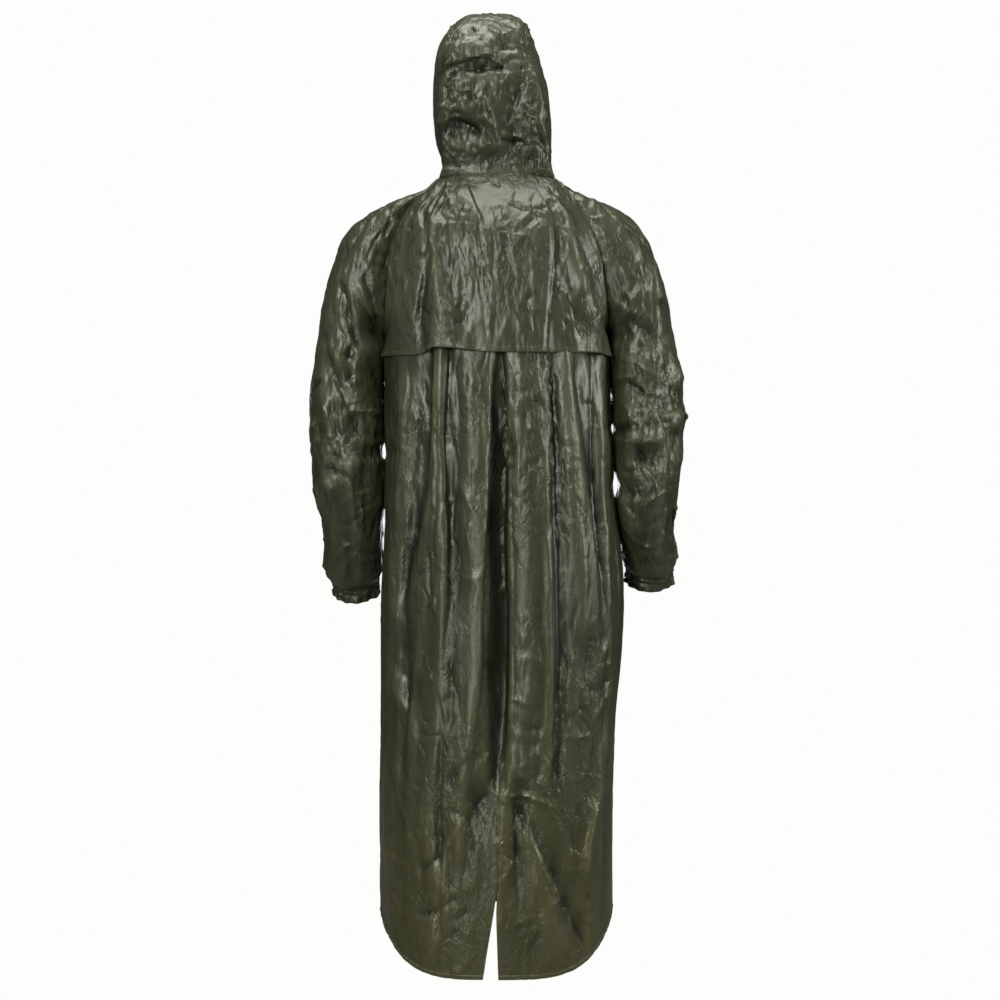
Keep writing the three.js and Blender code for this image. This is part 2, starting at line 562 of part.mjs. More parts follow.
// One arch of the hood from its crown point down one side to the neck seam
function hoodArch(side, share, end) {
  const along = share * HOOD_LINE.at(-1).along;
  const crown = vector(0, hoodLine(along, 'y'), hoodLine(along, 'z'));
  const foot = vector(0, end.y, end.z);
  const endX = Math.abs(end.x);
  const halfWidth = Math.max(hoodLine(along, 'halfWidth'), share < 0.5 ? endX : 0);
  const power = 2 / HOOD_SQUARENESS;
  const points = [];
  for (let step = 0; step <= FINE_STEPS; step += 1) {
    const angle = step / FINE_STEPS * Math.PI / 2;
    const height = Math.max(Math.cos(angle), 0) ** power;
    const width = lerp(endX, halfWidth, smoothstep(height, 0, HOOD_CHIN_HEIGHT));
    const point = foot.clone().lerp(crown, height);
    const leanX = hoodLean(point.z, 'x') * smoothstep(height, 0, 0.3);
    point.x = side * Math.sin(angle) ** power * width * hoodLean(point.z, 'pinch') + leanX;
    const behind = smoothstep(-point.y, 0, 40);
    const fold = foldHeight(HOOD_FOLDS, point.x, point.z) * behind * smoothstep(point.z, 8, 30);
    const away = point.clone().sub(vector(0, 0, 130)).normalize();
    points.push(point.addScaledVector(away, fold));
  }
  return measureLine(points, 0);
}

function hoodRow(side, row, neck) {
  const share = row / HOOD_ROWS;
  const start = HOOD_NECK_FROM;
  const neckAt = lerp(start, lineEnd(neck) * HOOD_THROAT_SHARE, share ** 0.9);
  const end = neckPlace(neck, side, neckAt).point;
  const arch = row === 0 ? measureLine(neckRun(neck, side, neckAt), 0) : hoodArch(side, share, end);
  let seamAt = 0;
  const centre = arch.points[0].x;
  while (Math.abs(placeOnLine(arch, seamAt).point.x - centre) < HOOD_CENTRE_HALF_WIDTH) seamAt += 0.5;
  const middle = [];
  const flank = [];
  const halfColumns = HOOD_CENTRE_COLUMNS / 2;
  for (let i = 0; i <= halfColumns; i += 1) {
    middle.push(placeOnLine(arch, seamAt * i / halfColumns).point);
  }
  for (let i = 0; i <= HOOD_SIDE_COLUMNS; i += 1) {
    flank.push(placeOnLine(arch, lerp(seamAt, lineEnd(arch), i / HOOD_SIDE_COLUMNS)).point);
  }
  flank[0] = middle[halfColumns].clone();
  return { middle, flank, neckAt };
}

function neckRun(neck, side, length) {
  const points = [];
  for (let step = 0; step <= FINE_STEPS; step += 1) {
    points.push(neckPlace(neck, side, length * step / FINE_STEPS).point);
  }
  return points;
}

// Walls

const sharedNormals = new Map();
const placeKey = (point) => [point.x, point.y, point.z].map((value) => Math.round(value * 100)).join();

// Directions square to the outer surface at each point of a grid
function gridNormals(grid, flip) {
  return grid.map((points, row) => points.map((point, column) => {
    const up = grid[Math.max(row - 1, 0)][column];
    const down = grid[Math.min(row + 1, grid.length - 1)][column];
    const here = points[Math.max(column - 1, 0)];
    const there = points[Math.min(column + 1, points.length - 1)];
    const normal = down.clone().sub(up).cross(there.clone().sub(here)).normalize();
    return normal.multiplyScalar(flip);
  }));
}

function shareNormals(grid, normals) {
  grid.forEach((points, row) => points.forEach((point, column) => {
    const key = placeKey(point);
    const shared = sharedNormals.get(key) ?? { sum: vector(0, 0, 0), count: 0 };
    shared.sum.add(normals[row][column]);
    shared.count += 1;
    sharedNormals.set(key, shared);
  }));
}

// The way from a point of the outer surface through the wall, mitred where pieces meet at an angle
function throughWall(point) {
  const { sum, count } = sharedNormals.get(placeKey(point));
  const mitre = Math.max(sum.length() / count, 0.55);
  return sum.clone().normalize().multiplyScalar(-CLOTH / mitre);
}

// Closed wall between an outer and an inner grid. A ring joins its last column to its first
function wallGeometry(outer, inner, flip, isRing) {
  const rows = outer.length;
  const columns = outer[0].length;
  const positions = [];
  for (const grid of [outer, inner]) {
    for (const points of grid) for (const point of points) positions.push(point.x, point.y, point.z);
  }
  const at = (layer, row, column) => layer * rows * columns + row * columns + (column % columns);
  const faces = [];
  const quad = (a, b, c, d) => faces.push(...(flip > 0 ? [a, b, c, a, c, d] : [a, c, b, a, d, c]));
  const lastColumn = isRing ? columns : columns - 1;
  for (let row = 0; row < rows - 1; row += 1) {
    for (let column = 0; column < lastColumn; column += 1) {
      const next = column + 1;
      quad(at(0, row, column), at(0, row + 1, column), at(0, row + 1, next), at(0, row, next));
      quad(at(1, row, column), at(1, row, next), at(1, row + 1, next), at(1, row + 1, column));
    }
    if (!isRing) {
      quad(at(0, row, 0), at(1, row, 0), at(1, row + 1, 0), at(0, row + 1, 0));
      quad(at(0, row, lastColumn), at(0, row + 1, lastColumn),
        at(1, row + 1, lastColumn), at(1, row, lastColumn));
    }
  }
  for (let column = 0; column < lastColumn; column += 1) {
    const next = column + 1;
    const end = rows - 1;
    quad(at(0, 0, column), at(0, 0, next), at(1, 0, next), at(1, 0, column));
    quad(at(0, end, column), at(1, end, column), at(1, end, next), at(0, end, next));
  }
  const geometry = new THREE.BufferGeometry();
  geometry.setAttribute('position', new THREE.Float32BufferAttribute(positions, 3));
  geometry.setIndex(faces);
  geometry.computeVertexNormals();
  return geometry;
}

// A sewn panel: the wall inside its outer grid, drawn back from its seams by half the seam gap
function panelGeometry(grid, flip, wallWay, seamColumns) {
  const last = grid[0].length - 1;
  const drawBack = (points, column) => {
    const isSeam = (column === 0 && seamColumns.first) || (column === last && seamColumns.last);
    if (!isSeam) return vector(0, 0, 0);
    const inner = points[column === 0 ? 1 : last - 1];
    return inner.clone().sub(points[column]).normalize().multiplyScalar(SEAM_GAP / 2);
  };
  const outer = grid.map((points) => points.map(
    (point, column) => point.clone().add(drawBack(points, column)),
  ));
  const inner = grid.map((points, row) => points.map(
    (point, column) => outer[row][column].clone().add(wallWay(point, row, column)),
  ));
  return wallGeometry(outer, inner, flip, false);
}

const coat = new THREE.Group();

function addMesh(name, geometry, finish) {
  const mesh = new THREE.Mesh(geometry, new THREE.MeshStandardMaterial(finish));
  mesh.name = name;
  coat.add(mesh);
  return mesh;
}

// Grids of all sewn panels, before any wall is made
const sides = [1, -1];
const panels = new Map();
const necks = new Map();
for (const side of sides) {
  const back = backGrid(side);
  const front = frontGrid(side, back);
  const sleeve = sleeveGrid(side, back, front);
  panels.set(`back_${sideName(side)}`, { grid: back, flip: side, first: true, last: true });
  panels.set(`front_${sideName(side)}`, { grid: front, flip: -side, first: true, last: true });
  const backHalf = sleeve.map((points) => points.slice(0, OVERARM_COLUMN + 1));
  const frontHalf = sleeve.map((points) => points.slice(OVERARM_COLUMN).map((point) => point.clone()));
  panels.set(`sleeve_back_${sideName(side)}`, { grid: backHalf, flip: side, first: true, last: true });
  panels.set(`sleeve_front_${sideName(side)}`, { grid: frontHalf, flip: side, first: true, last: true });
  necks.set(side, neckLine(back, sleeve, front));
}

const neckWalls = new Map();
for (const side of sides) {
  const line = necks.get(side);
  line.points.forEach((point, index) => {
    neckWalls.set(placeKey(point), neckPlace(line, side, line.distance[index]).wall);
  });
}

const hoodRows = new Map();
for (const side of sides) {
  const rows = [];
  for (let row = 0; row <= HOOD_ROWS; row += 1) rows.push(hoodRow(side, row, necks.get(side)));
  hoodRows.set(side, rows);
  panels.set(`hood_${sideName(side)}`, {
    grid: rows.map((parts) => parts.flank), flip: -side, first: true, last: false, hoodSide: side,
  });
}
panels.set('hood_centre', {
  grid: hoodRows.get(-1).map((left, row) => [
    ...[...left.middle].reverse(), ...hoodRows.get(1)[row].middle.slice(1),
  ]),
  flip: -1, first: true, last: true,
});

for (const panel of panels.values()) shareNormals(panel.grid, gridNormals(panel.grid, panel.flip));
// The four pieces that meet at an armpit share one way through the wall there, straight up
for (const side of sides) {
  const armpit = panels.get(`back_${sideName(side)}`).grid[ROWS_ABOVE_ARMPIT][BACK_COLUMNS];
  sharedNormals.set(placeKey(armpit), { sum: vector(0, 0, -1), count: 1 });
}

// The hood's edge on the neck seam is lifted off the body's neck edge, square to the wall there
function seatHoodOnNeck(panel) {
  const ways = panel.grid.map((points) => points.map((point) => throughWall(point)));
  const lift = (row, column, side, at) => {
    const place = neckPlace(necks.get(side), side, at);
    panel.grid[row][column] = place.point.clone().addScaledVector(place.rise, NECK_SEAM_GAP);
    ways[row][column] = place.wall.clone().multiplyScalar(-CLOTH);
  };
  const lastColumn = panel.grid[0].length - 1;
  if (panel.hoodSide) {
    const rows = hoodRows.get(panel.hoodSide);
    const base = rows[0].neckAt;
    rows.forEach((parts, row) => lift(row, lastColumn, panel.hoodSide, parts.neckAt));
    const seamAt = lineAt(necks.get(panel.hoodSide), rows[0].flank[0]);
    for (let column = 0; column < lastColumn; column += 1) {
      lift(0, column, panel.hoodSide, lerp(seamAt, base, column / HOOD_SIDE_COLUMNS));
    }
  } else {
    const half = lastColumn / 2;
    for (let column = 0; column <= lastColumn; column += 1) {
      const side = column < half ? -1 : 1;
      const neck = necks.get(side);
      const seamAt = lineAt(neck, hoodRows.get(side)[0].flank[0]);
      lift(0, column, side, seamAt * Math.abs(column - half) / half);
    }
  }
  return ways;
}

// How far along a line a point lies
function lineAt(line, point) {
  let best = 0;
  let nearest = Infinity;
  for (let at = 0; at <= lineEnd(line); at += 0.25) {
    const away = placeOnLine(line, at).point.distanceTo(point);
    if (away < nearest) {
      nearest = away;
      best = at;
    }
  }
  return best;
}

function sleeveEndWay(side, point) {
  const ring = sleeveRingAt(side, sleeveEndZ(side));
  const centre = vector(side * ring.x, ring.y, ring.z);
  return centre.sub(point).normalize().multiplyScalar(CLOTH);
}

for (const [name, panel] of panels) {
  const isHood = name.startsWith('hood');
  const hoodWays = isHood ? seatHoodOnNeck(panel) : null;
  const wallWay = (point, row, column) => {
    if (isHood) return hoodWays[row][column];
    if (row === 0) return neckWalls.get(placeKey(point)).clone().multiplyScalar(-CLOTH);
    const atWrist = name.startsWith('sleeve') && row === panel.grid.length - 1;
    return atWrist ? sleeveEndWay(panel.flip, point) : throughWall(point);
  };
  addMesh(name, panelGeometry(panel.grid, panel.flip, wallWay, panel), COAT);
}

// Gathered cuffs, each a ring just past the end of its sleeve
function cuffGeometry(side) {
  const ring = sleeveRingAt(side, sleeveEndZ(side));
  const axis = vector(0, 0, -1).applyAxisAngle(vector(1, 0, 0), degToRad(ring.pitch));
  const columns = CUFF.gathers * CUFF.columnsPerGather;
  const layers = [0, -CLOTH].map((inset) => {
    const rows = [];
    for (let row = 0; row <= CUFF.rows; row += 1) {
      const share = row / CUFF.rows;
      const waist = -2.5 * Math.sin(share * Math.PI);
      const points = [];
      for (let column = 0; column < columns; column += 1) {
        const turn = 360 * column / columns;
        const uneven = 1 + 0.35 * Math.sin(degToRad(turn * 3 + 40));
        const wave = Math.sin(degToRad(turn * CUFF.gathers)) * CUFF.gatherHeight * uneven;
        const point = ovalPoint(side, ring, turn, inset + waist + wave * share);
        points.push(point.addScaledVector(axis, CUFF.gap + CUFF.length * share));
      }
      rows.push(points);
    }
    return rows;
  });
  return wallGeometry(layers[0], layers[1], side, true);
}
for (const side of sides) addMesh(`cuff_${sideName(side)}`, cuffGeometry(side), COAT_DARK);

// A layer made from the points of what it lies on, moved out by its gap and its own wall
function layerGeometry(grid, flip, gapAt) {
  const normals = gridNormals(grid, flip);
  const moved = (extra) => grid.map((points, row) => points.map((point, column) => (
    point.clone().addScaledVector(normals[row][column], gapAt(point, row, column) + extra)
  )));
  return wallGeometry(moved(CLOTH), moved(0), flip, false);
}

// Loose flap across the shoulder blades, caught at the neck and along the upper raglan seams
function yokeGrid() {
  const grid = [];
  for (let row = 0; row <= ROWS_ABOVE_ARMPIT; row += 1) {
    const line = backRows[row];
    const points = [];
    for (let column = 0; column <= YOKE_COLUMNS; column += 1) {
      const share = 2 * column / YOKE_COLUMNS - 1;
      const end = share < 0 ? -lineStart(line) : lineEnd(line);
      const cornerInset = YOKE.cornerInset * smoothstep(row, 5, ROWS_ABOVE_ARMPIT);
      points.push(backPointAt(line, share * (end - YOKE.edgeInset - cornerInset)));
    }
    grid.push(points);
  }
  grid[0] = grid[0].map((point, column) => point.clone().lerp(grid[1][column], 0.35));
  const hem = grid[ROWS_ABOVE_ARMPIT].map((point) => point.clone().setZ(YOKE.hemZ));
  grid[ROWS_ABOVE_ARMPIT] = hem;
  return grid;
}

const yokePoints = yokeGrid();
addMesh('back_yoke', layerGeometry(yokePoints, 1, (point, row) => {
  const loose = smoothstep(row, 3, ROWS_ABOVE_ARMPIT);
  const fold = foldHeight(YOKE_FOLDS, point.x, point.z) * smoothstep(row, 0, 1.5);
  return LAYER_GAP + YOKE.standOff * loose + Math.max(fold + 2 * loose, 0);
}), COAT);

// Strip over the front opening, with its row of snap caps
const flyGrid = frontRows.slice(1).map((line) => [-1, -0.33, 0.33, 1].map(
  (share) => placeOnLine(line, share * FLY_HALF_WIDTH).point,
));
addMesh('front_fly', layerGeometry(flyGrid, -1, () => LAYER_GAP), COAT_DARK);

function snapGeometry() {
  const { radius, height, segments } = SNAPS;
  const profile = [[0, 0], [radius, 0], [radius, height * 0.5], [radius * 0.82, height], [0, height]];
  return new THREE.LatheGeometry(profile.map(([x, y]) => new THREE.Vector2(x, y)), segments);
}

for (let index = 0; index < SNAPS.count; index += 1) {
  const z = SNAPS.firstZ - index * SNAPS.spacing;
  const rowIndex = frontRows.findIndex((line) => placeOnLine(line, 0).point.z <= z);
  const above = placeOnLine(frontRows[rowIndex - 1], 0).point;
  const below = placeOnLine(frontRows[rowIndex], 0).point;
  const outward = below.clone().sub(above).cross(vector(1, 0, 0)).normalize();
  const way = outward.y > 0 ? outward : outward.negate();
  const seat = above.clone().lerp(below, 0.5);
  const snap = addMesh(`snap_${index + 1}`, snapGeometry(), SNAP_METAL);
  snap.quaternion.setFromUnitVectors(vector(0, 1, 0), way);
  snap.position.copy(seat.addScaledVector(way, LAYER_GAP + CLOTH + SNAPS.gap));
}

export default coat;
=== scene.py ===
# Long hooded raincoat of glossy coated nylon in its worn form, seen from behind.
# Lengths are metres in the part's frame: z is up, -y is the back and +x is the wearer's right.

import math
import random

import bmesh
import bpy
import numpy as np
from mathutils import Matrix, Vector, noise


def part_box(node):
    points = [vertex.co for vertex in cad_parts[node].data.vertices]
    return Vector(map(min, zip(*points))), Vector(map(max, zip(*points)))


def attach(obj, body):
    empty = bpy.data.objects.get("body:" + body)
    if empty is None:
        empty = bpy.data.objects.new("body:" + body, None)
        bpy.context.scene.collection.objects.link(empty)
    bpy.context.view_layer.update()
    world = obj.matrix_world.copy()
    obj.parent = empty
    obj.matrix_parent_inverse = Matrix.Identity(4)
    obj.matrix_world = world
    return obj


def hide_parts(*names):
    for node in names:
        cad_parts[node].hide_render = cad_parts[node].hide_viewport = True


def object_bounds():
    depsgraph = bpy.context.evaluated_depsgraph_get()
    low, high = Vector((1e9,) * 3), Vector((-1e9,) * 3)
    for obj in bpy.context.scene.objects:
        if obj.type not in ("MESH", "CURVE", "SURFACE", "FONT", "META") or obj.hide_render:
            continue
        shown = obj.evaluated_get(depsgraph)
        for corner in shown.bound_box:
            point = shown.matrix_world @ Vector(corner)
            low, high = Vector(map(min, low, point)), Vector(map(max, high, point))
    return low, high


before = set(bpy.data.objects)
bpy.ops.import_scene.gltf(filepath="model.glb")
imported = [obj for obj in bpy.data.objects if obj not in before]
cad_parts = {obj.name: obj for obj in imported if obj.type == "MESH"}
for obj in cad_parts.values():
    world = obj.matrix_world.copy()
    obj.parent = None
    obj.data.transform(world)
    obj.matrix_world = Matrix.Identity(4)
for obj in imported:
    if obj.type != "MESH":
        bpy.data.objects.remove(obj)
cad_box = [list(corner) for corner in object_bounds()]
MM = 0.001

# Camera: it stands behind the coat at hip height and looks a little down, with a long lens.
CAMERA_PLACE = (0.0048, -2.4, -0.392)
CAMERA_TILT = math.radians(87.33)
bpy.ops.object.camera_add(location=CAMERA_PLACE, rotation=(CAMERA_TILT, 0, 0))
camera = bpy.context.object
camera.name = "camera_behind"
camera.data.sensor_width = 36
camera.data.lens = 54
bpy.context.scene.camera = camera

# Studio: a wide pale floor below the hem and a pale world, both dimmer as light than as seen.
# Soft lamps behind, above and to the right make the highlights, and weaker ones fill in the rest.
FLOOR_BELOW_HEM = 0.24
FLOOR_Z = cad_box[0][2] - FLOOR_BELOW_HEM
PALE = (0.98, 0.98, 0.97, 1)


def add_node(tree, kind, inputs=(), **settings):
    """A new node in a shader tree, with its own settings and the values of its sockets."""
    node = tree.nodes.new("ShaderNode" + kind)
    for name, value in settings.items():
        setattr(node, name, value)
    for socket, value in dict(inputs).items():
        node.inputs[socket].default_value = value
    return node


def pale_to_the_eye(tree, lit, output):
    """Shows a pale backdrop while the shader given as lit makes its light."""
    seen = add_node(tree, "LightPath")
    backdrop = add_node(tree, "Emission", {"Color": PALE, "Strength": 1.0})
    either = add_node(tree, "MixShader")
    tree.links.new(seen.outputs["Is Camera Ray"], either.inputs["Fac"])
    tree.links.new(lit.outputs[0], either.inputs[1])
    tree.links.new(backdrop.outputs[0], either.inputs[2])
    tree.links.new(either.outputs[0], output.inputs["Surface"])


bpy.context.scene.view_settings.view_transform = "Standard"
bpy.ops.mesh.primitive_plane_add(size=60, location=(0, 0, FLOOR_Z))
floor = bpy.context.object
floor.name = "studio_floor"
paper = bpy.data.materials.new("pale_paper")
paper.use_nodes = True
matt = paper.node_tree.nodes["Principled BSDF"]
matt.inputs["Base Color"].default_value = (0.16, 0.16, 0.15, 1)
matt.inputs["Roughness"].default_value = 0.9
pale_to_the_eye(paper.node_tree, matt, paper.node_tree.nodes["Material Output"])
floor.data.materials.append(paper)

world = bpy.data.worlds.new("pale_studio")
world.use_nodes = True
sky = world.node_tree.nodes["Background"]
sky.inputs["Color"].default_value = (0.93, 0.94, 0.95, 1)
sky.inputs["Strength"].default_value = 0.06
pale_to_the_eye(world.node_tree, sky, world.node_tree.nodes["World Output"])
bpy.context.scene.world = world

LAMPS = [
    {"name": "lamp_behind", "place": (-1.2, -3.1, 0.5), "size": (1.0, 1.4), "watts": 62},
    {"name": "lamp_above", "place": (-0.1, -0.4, 2.1), "size": (1.6, 1.9), "watts": 66},
    {"name": "lamp_low", "place": (-0.9, -2.5, -1.2), "size": (0.6, 0.8), "watts": 9},
    {"name": "lamp_left", "place": (-2.4, -0.6, 0.2), "size": (0.5, 1.8), "watts": 3},
    {"name": "lamp_right", "place": (2.4, -0.7, 0.2), "size": (0.5, 1.8), "watts": 38},
    {"name": "lamp_front", "place": (0.0, 2.6, -0.3), "size": (0.7, 1.3), "watts": 26},
]
COAT_MIDDLE = Vector((0, 0, -0.45))
for lamp in LAMPS:
    bpy.ops.object.light_add(type="AREA", location=lamp["place"])
    light = bpy.context.object
    light.name = lamp["name"]
    light.data.shape = "RECTANGLE"
    light.data.size, light.data.size_y = lamp["size"]
    light.visible_camera = False
    light.data.energy = lamp["watts"]
    toward = COAT_MIDDLE - Vector(lamp["place"])
    light.rotation_euler = toward.to_track_quat("-Z", "Y").to_euler()

# The back: two halves of coated nylon sewn down the centre, open at the vent in the hem.
# Each is one cut panel from the neck to the hem, and it hangs in long folds with sharp crests.
WELD = 0.02 * MM
WALL_EDGES = (1.4 * MM, 3.1 * MM)
CLOTH = 0.8 * MM


def outer_skin(node):
    """A CAD wall's outside, without the narrow faces round its rim."""
    mesh = bmesh.new()
    mesh.from_mesh(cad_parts[node].data)
    bmesh.ops.remove_doubles(mesh, verts=mesh.verts, dist=WELD)
    crossing = [e for e in mesh.edges if WALL_EDGES[0] < e.calc_length() < WALL_EDGES[1]]
    rim = {face for edge in crossing for face in edge.link_faces}
    bmesh.ops.delete(mesh, geom=list(rim), context="FACES")
    keep = set(larger_side(mesh))
    bmesh.ops.delete(mesh, geom=[f for f in mesh.faces if f not in keep], context="FACES")
    return mesh


def larger_side(mesh):
    """The faces of the larger of the wall's two skins, which is its outside."""
    left = set(mesh.faces)
    sides = []
    while left:
        reached = [left.pop()]
        for face in reached:
            for edge in face.edges:
                for other in edge.link_faces:
                    if other in left:
                        left.remove(other)
                        reached.append(other)
        sides.append(reached)
    return max(sides, key=lambda faces: sum(face.calc_area() for face in faces))


def third_corner(start, end, known):
    """The corner across an edge from a known one."""
    for edge in start.link_edges:
        if edge.other_vert(start) != end:
            continue
        for face in edge.link_faces:
            for corner in face.verts:
                if corner not in (start, end, known):
                    return corner
    return None


def border_run(start, step):
    """The border's corners from a start through a step, up to the next corner of the panel."""
    run = [start, step]
    while len(run[-1].link_edges) > 3:
        borders = [e.other_vert(run[-1]) for e in run[-1].link_edges if e.is_boundary]
        run.append(next(v for v in borders if v != run[-2]))
    return run


def panel_rows(node, columns, starts_high=True):
    """The outside of a panel's wall as rows of points, and the sign that turns its rows out."""
    mesh = outer_skin(node)
    tips = [v for v in mesh.verts if len(v.link_edges) == 2]
    tip = sorted(tips, key=lambda v: v.co.z)[-1 if starts_high else 0]
    runs = [border_run(tip, e.other_vert(tip)) for e in tip.link_edges]
    top = next(run for run in runs if len(run) == columns + 1)
    side = next(run for run in runs if run is not top)
    rows = [top[::-1]]
    for last in side[1:]:
        above = rows[-1]
        row = [last]
        for column in range(columns - 1, -1, -1):
            row.append(third_corner(above[column], row[-1], above[column + 1]))
        rows.append(row[::-1])
    mesh.normal_update()
    points = np.array([[v.co[:] for v in row] for row in rows])
    normals = np.array([[v.normal[:] for v in row] for row in rows])
    mesh.free()
    sign = np.sign((row_normals(points) * normals).sum())
    return points, sign


def row_normals(points):
    """Directions square to a sheet of rows, from the run of its rows and columns."""
    down = np.gradient(points, axis=0)
    across = np.gradient(points, axis=1)
    square = np.cross(down, across)
    return square / np.maximum(np.linalg.norm(square, axis=2, keepdims=True), 1e-12)


def spline_weights(count, parts):
    """Weights that draw a smooth curve through count + 1 points, with parts steps between two."""
    steps = count * parts
    weights = np.zeros((steps + 1, count + 1))
    for step in range(steps + 1):
        index = min(step // parts, count - 1)
        t = step / parts - index
        shares = (
            (index - 1, (-t + 2 * t**2 - t**3) / 2),
            (index, (2 - 5 * t**2 + 3 * t**3) / 2),
            (index + 1, (t + 4 * t**2 - 3 * t**3) / 2),
            (index + 2, (t**3 - t**2) / 2),
        )
        for place, share in shares:
            if place < 0:
                weights[step, 0] += 2 * share
                weights[step, 1] -= share
            elif place > count:
                weights[step, count] += 2 * share
                weights[step, count - 1] -= share
            else:
                weights[step, place] += share
    return weights


def finer(points, row_parts, column_parts):
    """The same sheet with smooth curves between its points."""
    by_row = spline_weights(points.shape[0] - 1, row_parts)
    by_column = spline_weights(points.shape[1] - 1, column_parts)
    return np.einsum("ri,ijk,cj->rck", by_row, points, by_column)


def run_length(points, axis):
    """How far along its rows or columns each point of a sheet lies."""
    steps = np.linalg.norm(np.diff(points, axis=axis), axis=2)
    length = np.cumsum(steps, axis=axis)
    start = np.zeros_like(np.take(length, [0], axis=axis))
    return np.concatenate([start, length], axis=axis)


def from_last(points, axis):
    """How far along its rows or columns each point of a sheet lies from their last point."""
    length = run_length(points, axis)
    return np.take(length, [-1], axis=axis) - length


def to_edges(points):
    """How far along its row each point lies from the nearer end of the row."""
    return np.minimum(run_length(points, 1), from_last(points, 1))


def raised(points, height, sign):
    """The sheet moved out by a height in millimetres."""
    return points + (height * MM * sign)[..., None] * row_normals(points)


def wave(points, size, shift=0.0):
    """Soft noise from -1 to 1. size is one wave's length along x, y and z, in millimetres."""
    places = points.reshape(-1, 3) / (np.array(size) * MM) + shift
    values = np.array([noise.noise(Vector(place)) for place in places])
    return values.reshape(points.shape[:2])


def crumple(points, size, shift=0.0):
    """Flat facets that meet in sharp creases, from about -0.5 to 1."""
    places = points.reshape(-1, 3) / (np.array(size) * MM) + shift
    values = []
    for place in places:
        near = noise.voronoi(Vector(place), distance_metric="DISTANCE_SQUARED")[0]
        values.append(near[1] - near[0])
    return np.array(values).reshape(points.shape[:2]) - 0.4


def smooth_step(value, start, end):
    """0 up to the start and 1 from the end on, with a soft rise between them."""
    share = np.clip((value - start) / (end - start), 0, 1)
    return share * share * (3 - 2 * share)


CREASE_COLUMNS = ("from", "to", "reach", "height", "bow", "taper")


def creases(table, points, wander=4.0):
    """Height in millimetres of the creases of a table, drawn on x and z.

    A row holds the CREASE_COLUMNS, and may leave off the last two. A reach is how fast the height
    falls away to the left and to the right, seen from behind, and bow bends the middle sideways.
    """
    x = points[..., 0] / MM + wander * wave(points, (70, 70, 70), 3.1)
    z = points[..., 2] / MM + wander * wave(points, (60, 60, 60), 8.7)
    height = np.zeros(x.shape)
    for number, row in enumerate(table):
        crease = dict(zip(CREASE_COLUMNS, row))
        run_x = crease["to"][0] - crease["from"][0]
        run_z = crease["to"][1] - crease["from"][1]
        length = math.hypot(run_x, run_z)
        along = ((x - crease["from"][0]) * run_x + (z - crease["from"][1]) * run_z) / length**2
        away = ((x - crease["from"][0]) * -run_z + (z - crease["from"][1]) * run_x) / length
        share = np.clip(along, 0, 1)
        away = away - crease.get("bow", 0) * 4 * share * (1 - share)
        beyond = (along - share) * length
        left, right = crease["reach"]
        reach = np.where(away > 0, right, left)
        falls = np.exp(-(np.sqrt(away**2 + 0.8) - 0.9) / reach)
        taper = 1 - np.abs(2 * share - 1) ** crease.get("taper", 5)
        uneven = 0.8 + 0.35 * np.sin(share * length / 31 + number * 1.7)
        height += crease["height"] * falls * taper * uneven * np.exp(-((beyond / 6) ** 2))
    return height


def scattered(seed, count, low, high, lean=24, long=(12, 55), tall=(0.5, 1.5), upright=90):
    """A table of small sharp creases strewn over a panel, most of them turned near upright."""
    dice = random.Random(seed)
    table = []
    for _ in range(count):
        turn = math.radians(dice.gauss(upright, lean) + (90 if dice.random() < 0.22 else 0))
        length = dice.uniform(*long)
        x, z = dice.uniform(low[0], high[0]), dice.uniform(low[1], high[1])
        end = x + length * math.cos(turn), z + length * math.sin(turn)
        reach = dice.uniform(1.2, 3.5), dice.uniform(1.2, 5)
        height = dice.uniform(*tall) * dice.choice((1, -1))
        table.append(((x, z), end, reach, height, dice.gauss(0, length / 16), 2))
    return table


def folded(points, folds, levels, wander=3.0):
    """Height in millimetres of long folds that run down a panel from edge to edge.

    Each fold is a line that crosses the levels at x, standing out there by out. The cloth is
    nearly flat from one fold's line to the next, and it turns over the line itself.
    """
    x = points[..., 0] / MM + wander * wave(points, (60, 60, 110), 6.1)
    z = points[..., 2] / MM
    smooth = spline_weights(len(levels) - 1, 8)
    heights = smooth @ np.array(levels, dtype=float)
    lines = []
    for fold in folds:
        line_x = np.interp(-z, -heights, smooth @ np.array(fold["x"], dtype=float))
        line_out = np.interp(-z, -heights, smooth @ np.array(fold["out"], dtype=float))
        lines.append((line_x, line_out))
    total = np.zeros(x.shape)
    for blur in (-2.0, -0.7, 0.7, 2.0):
        height = lines[0][1].copy()
        for (start_x, start_out), (end_x, end_out) in zip(lines, lines[1:]):
            share = np.clip((x + blur - start_x) / np.maximum(end_x - start_x, 1.0), 0, 1)
            height += (end_out - start_out) * share
        total += height / 4
    return total * (1 + 0.3 * wave(points, (200, 200, 90), 2.9))


def tuck_under(points, sign, axis, last, reach):
    """Adds a seam allowance beyond one edge of a sheet, turned in behind the neighbour."""
    turned = np.moveaxis(points, axis, 0)
    outward = np.moveaxis(row_normals(points) * sign, axis, 0)
    if last:
        turned, outward = turned[::-1], outward[::-1]
    away = turned[0] - turned[2]
    away = away / np.maximum(np.linalg.norm(away, axis=1, keepdims=True), 1e-9)
    reach = np.broadcast_to(np.asarray(reach, dtype=float), turned[0].shape[:1])[:, None]
    step = turned[0] + away * np.minimum(0.2 * MM, reach) - outward[0] * 1.1 * MM
    allowance = turned[0] + away * reach - outward[0] * 1.5 * MM
    turned = np.concatenate([allowance[None], step[None], turned])
    if last:
        turned = turned[::-1]
    return np.moveaxis(turned, 0, axis)


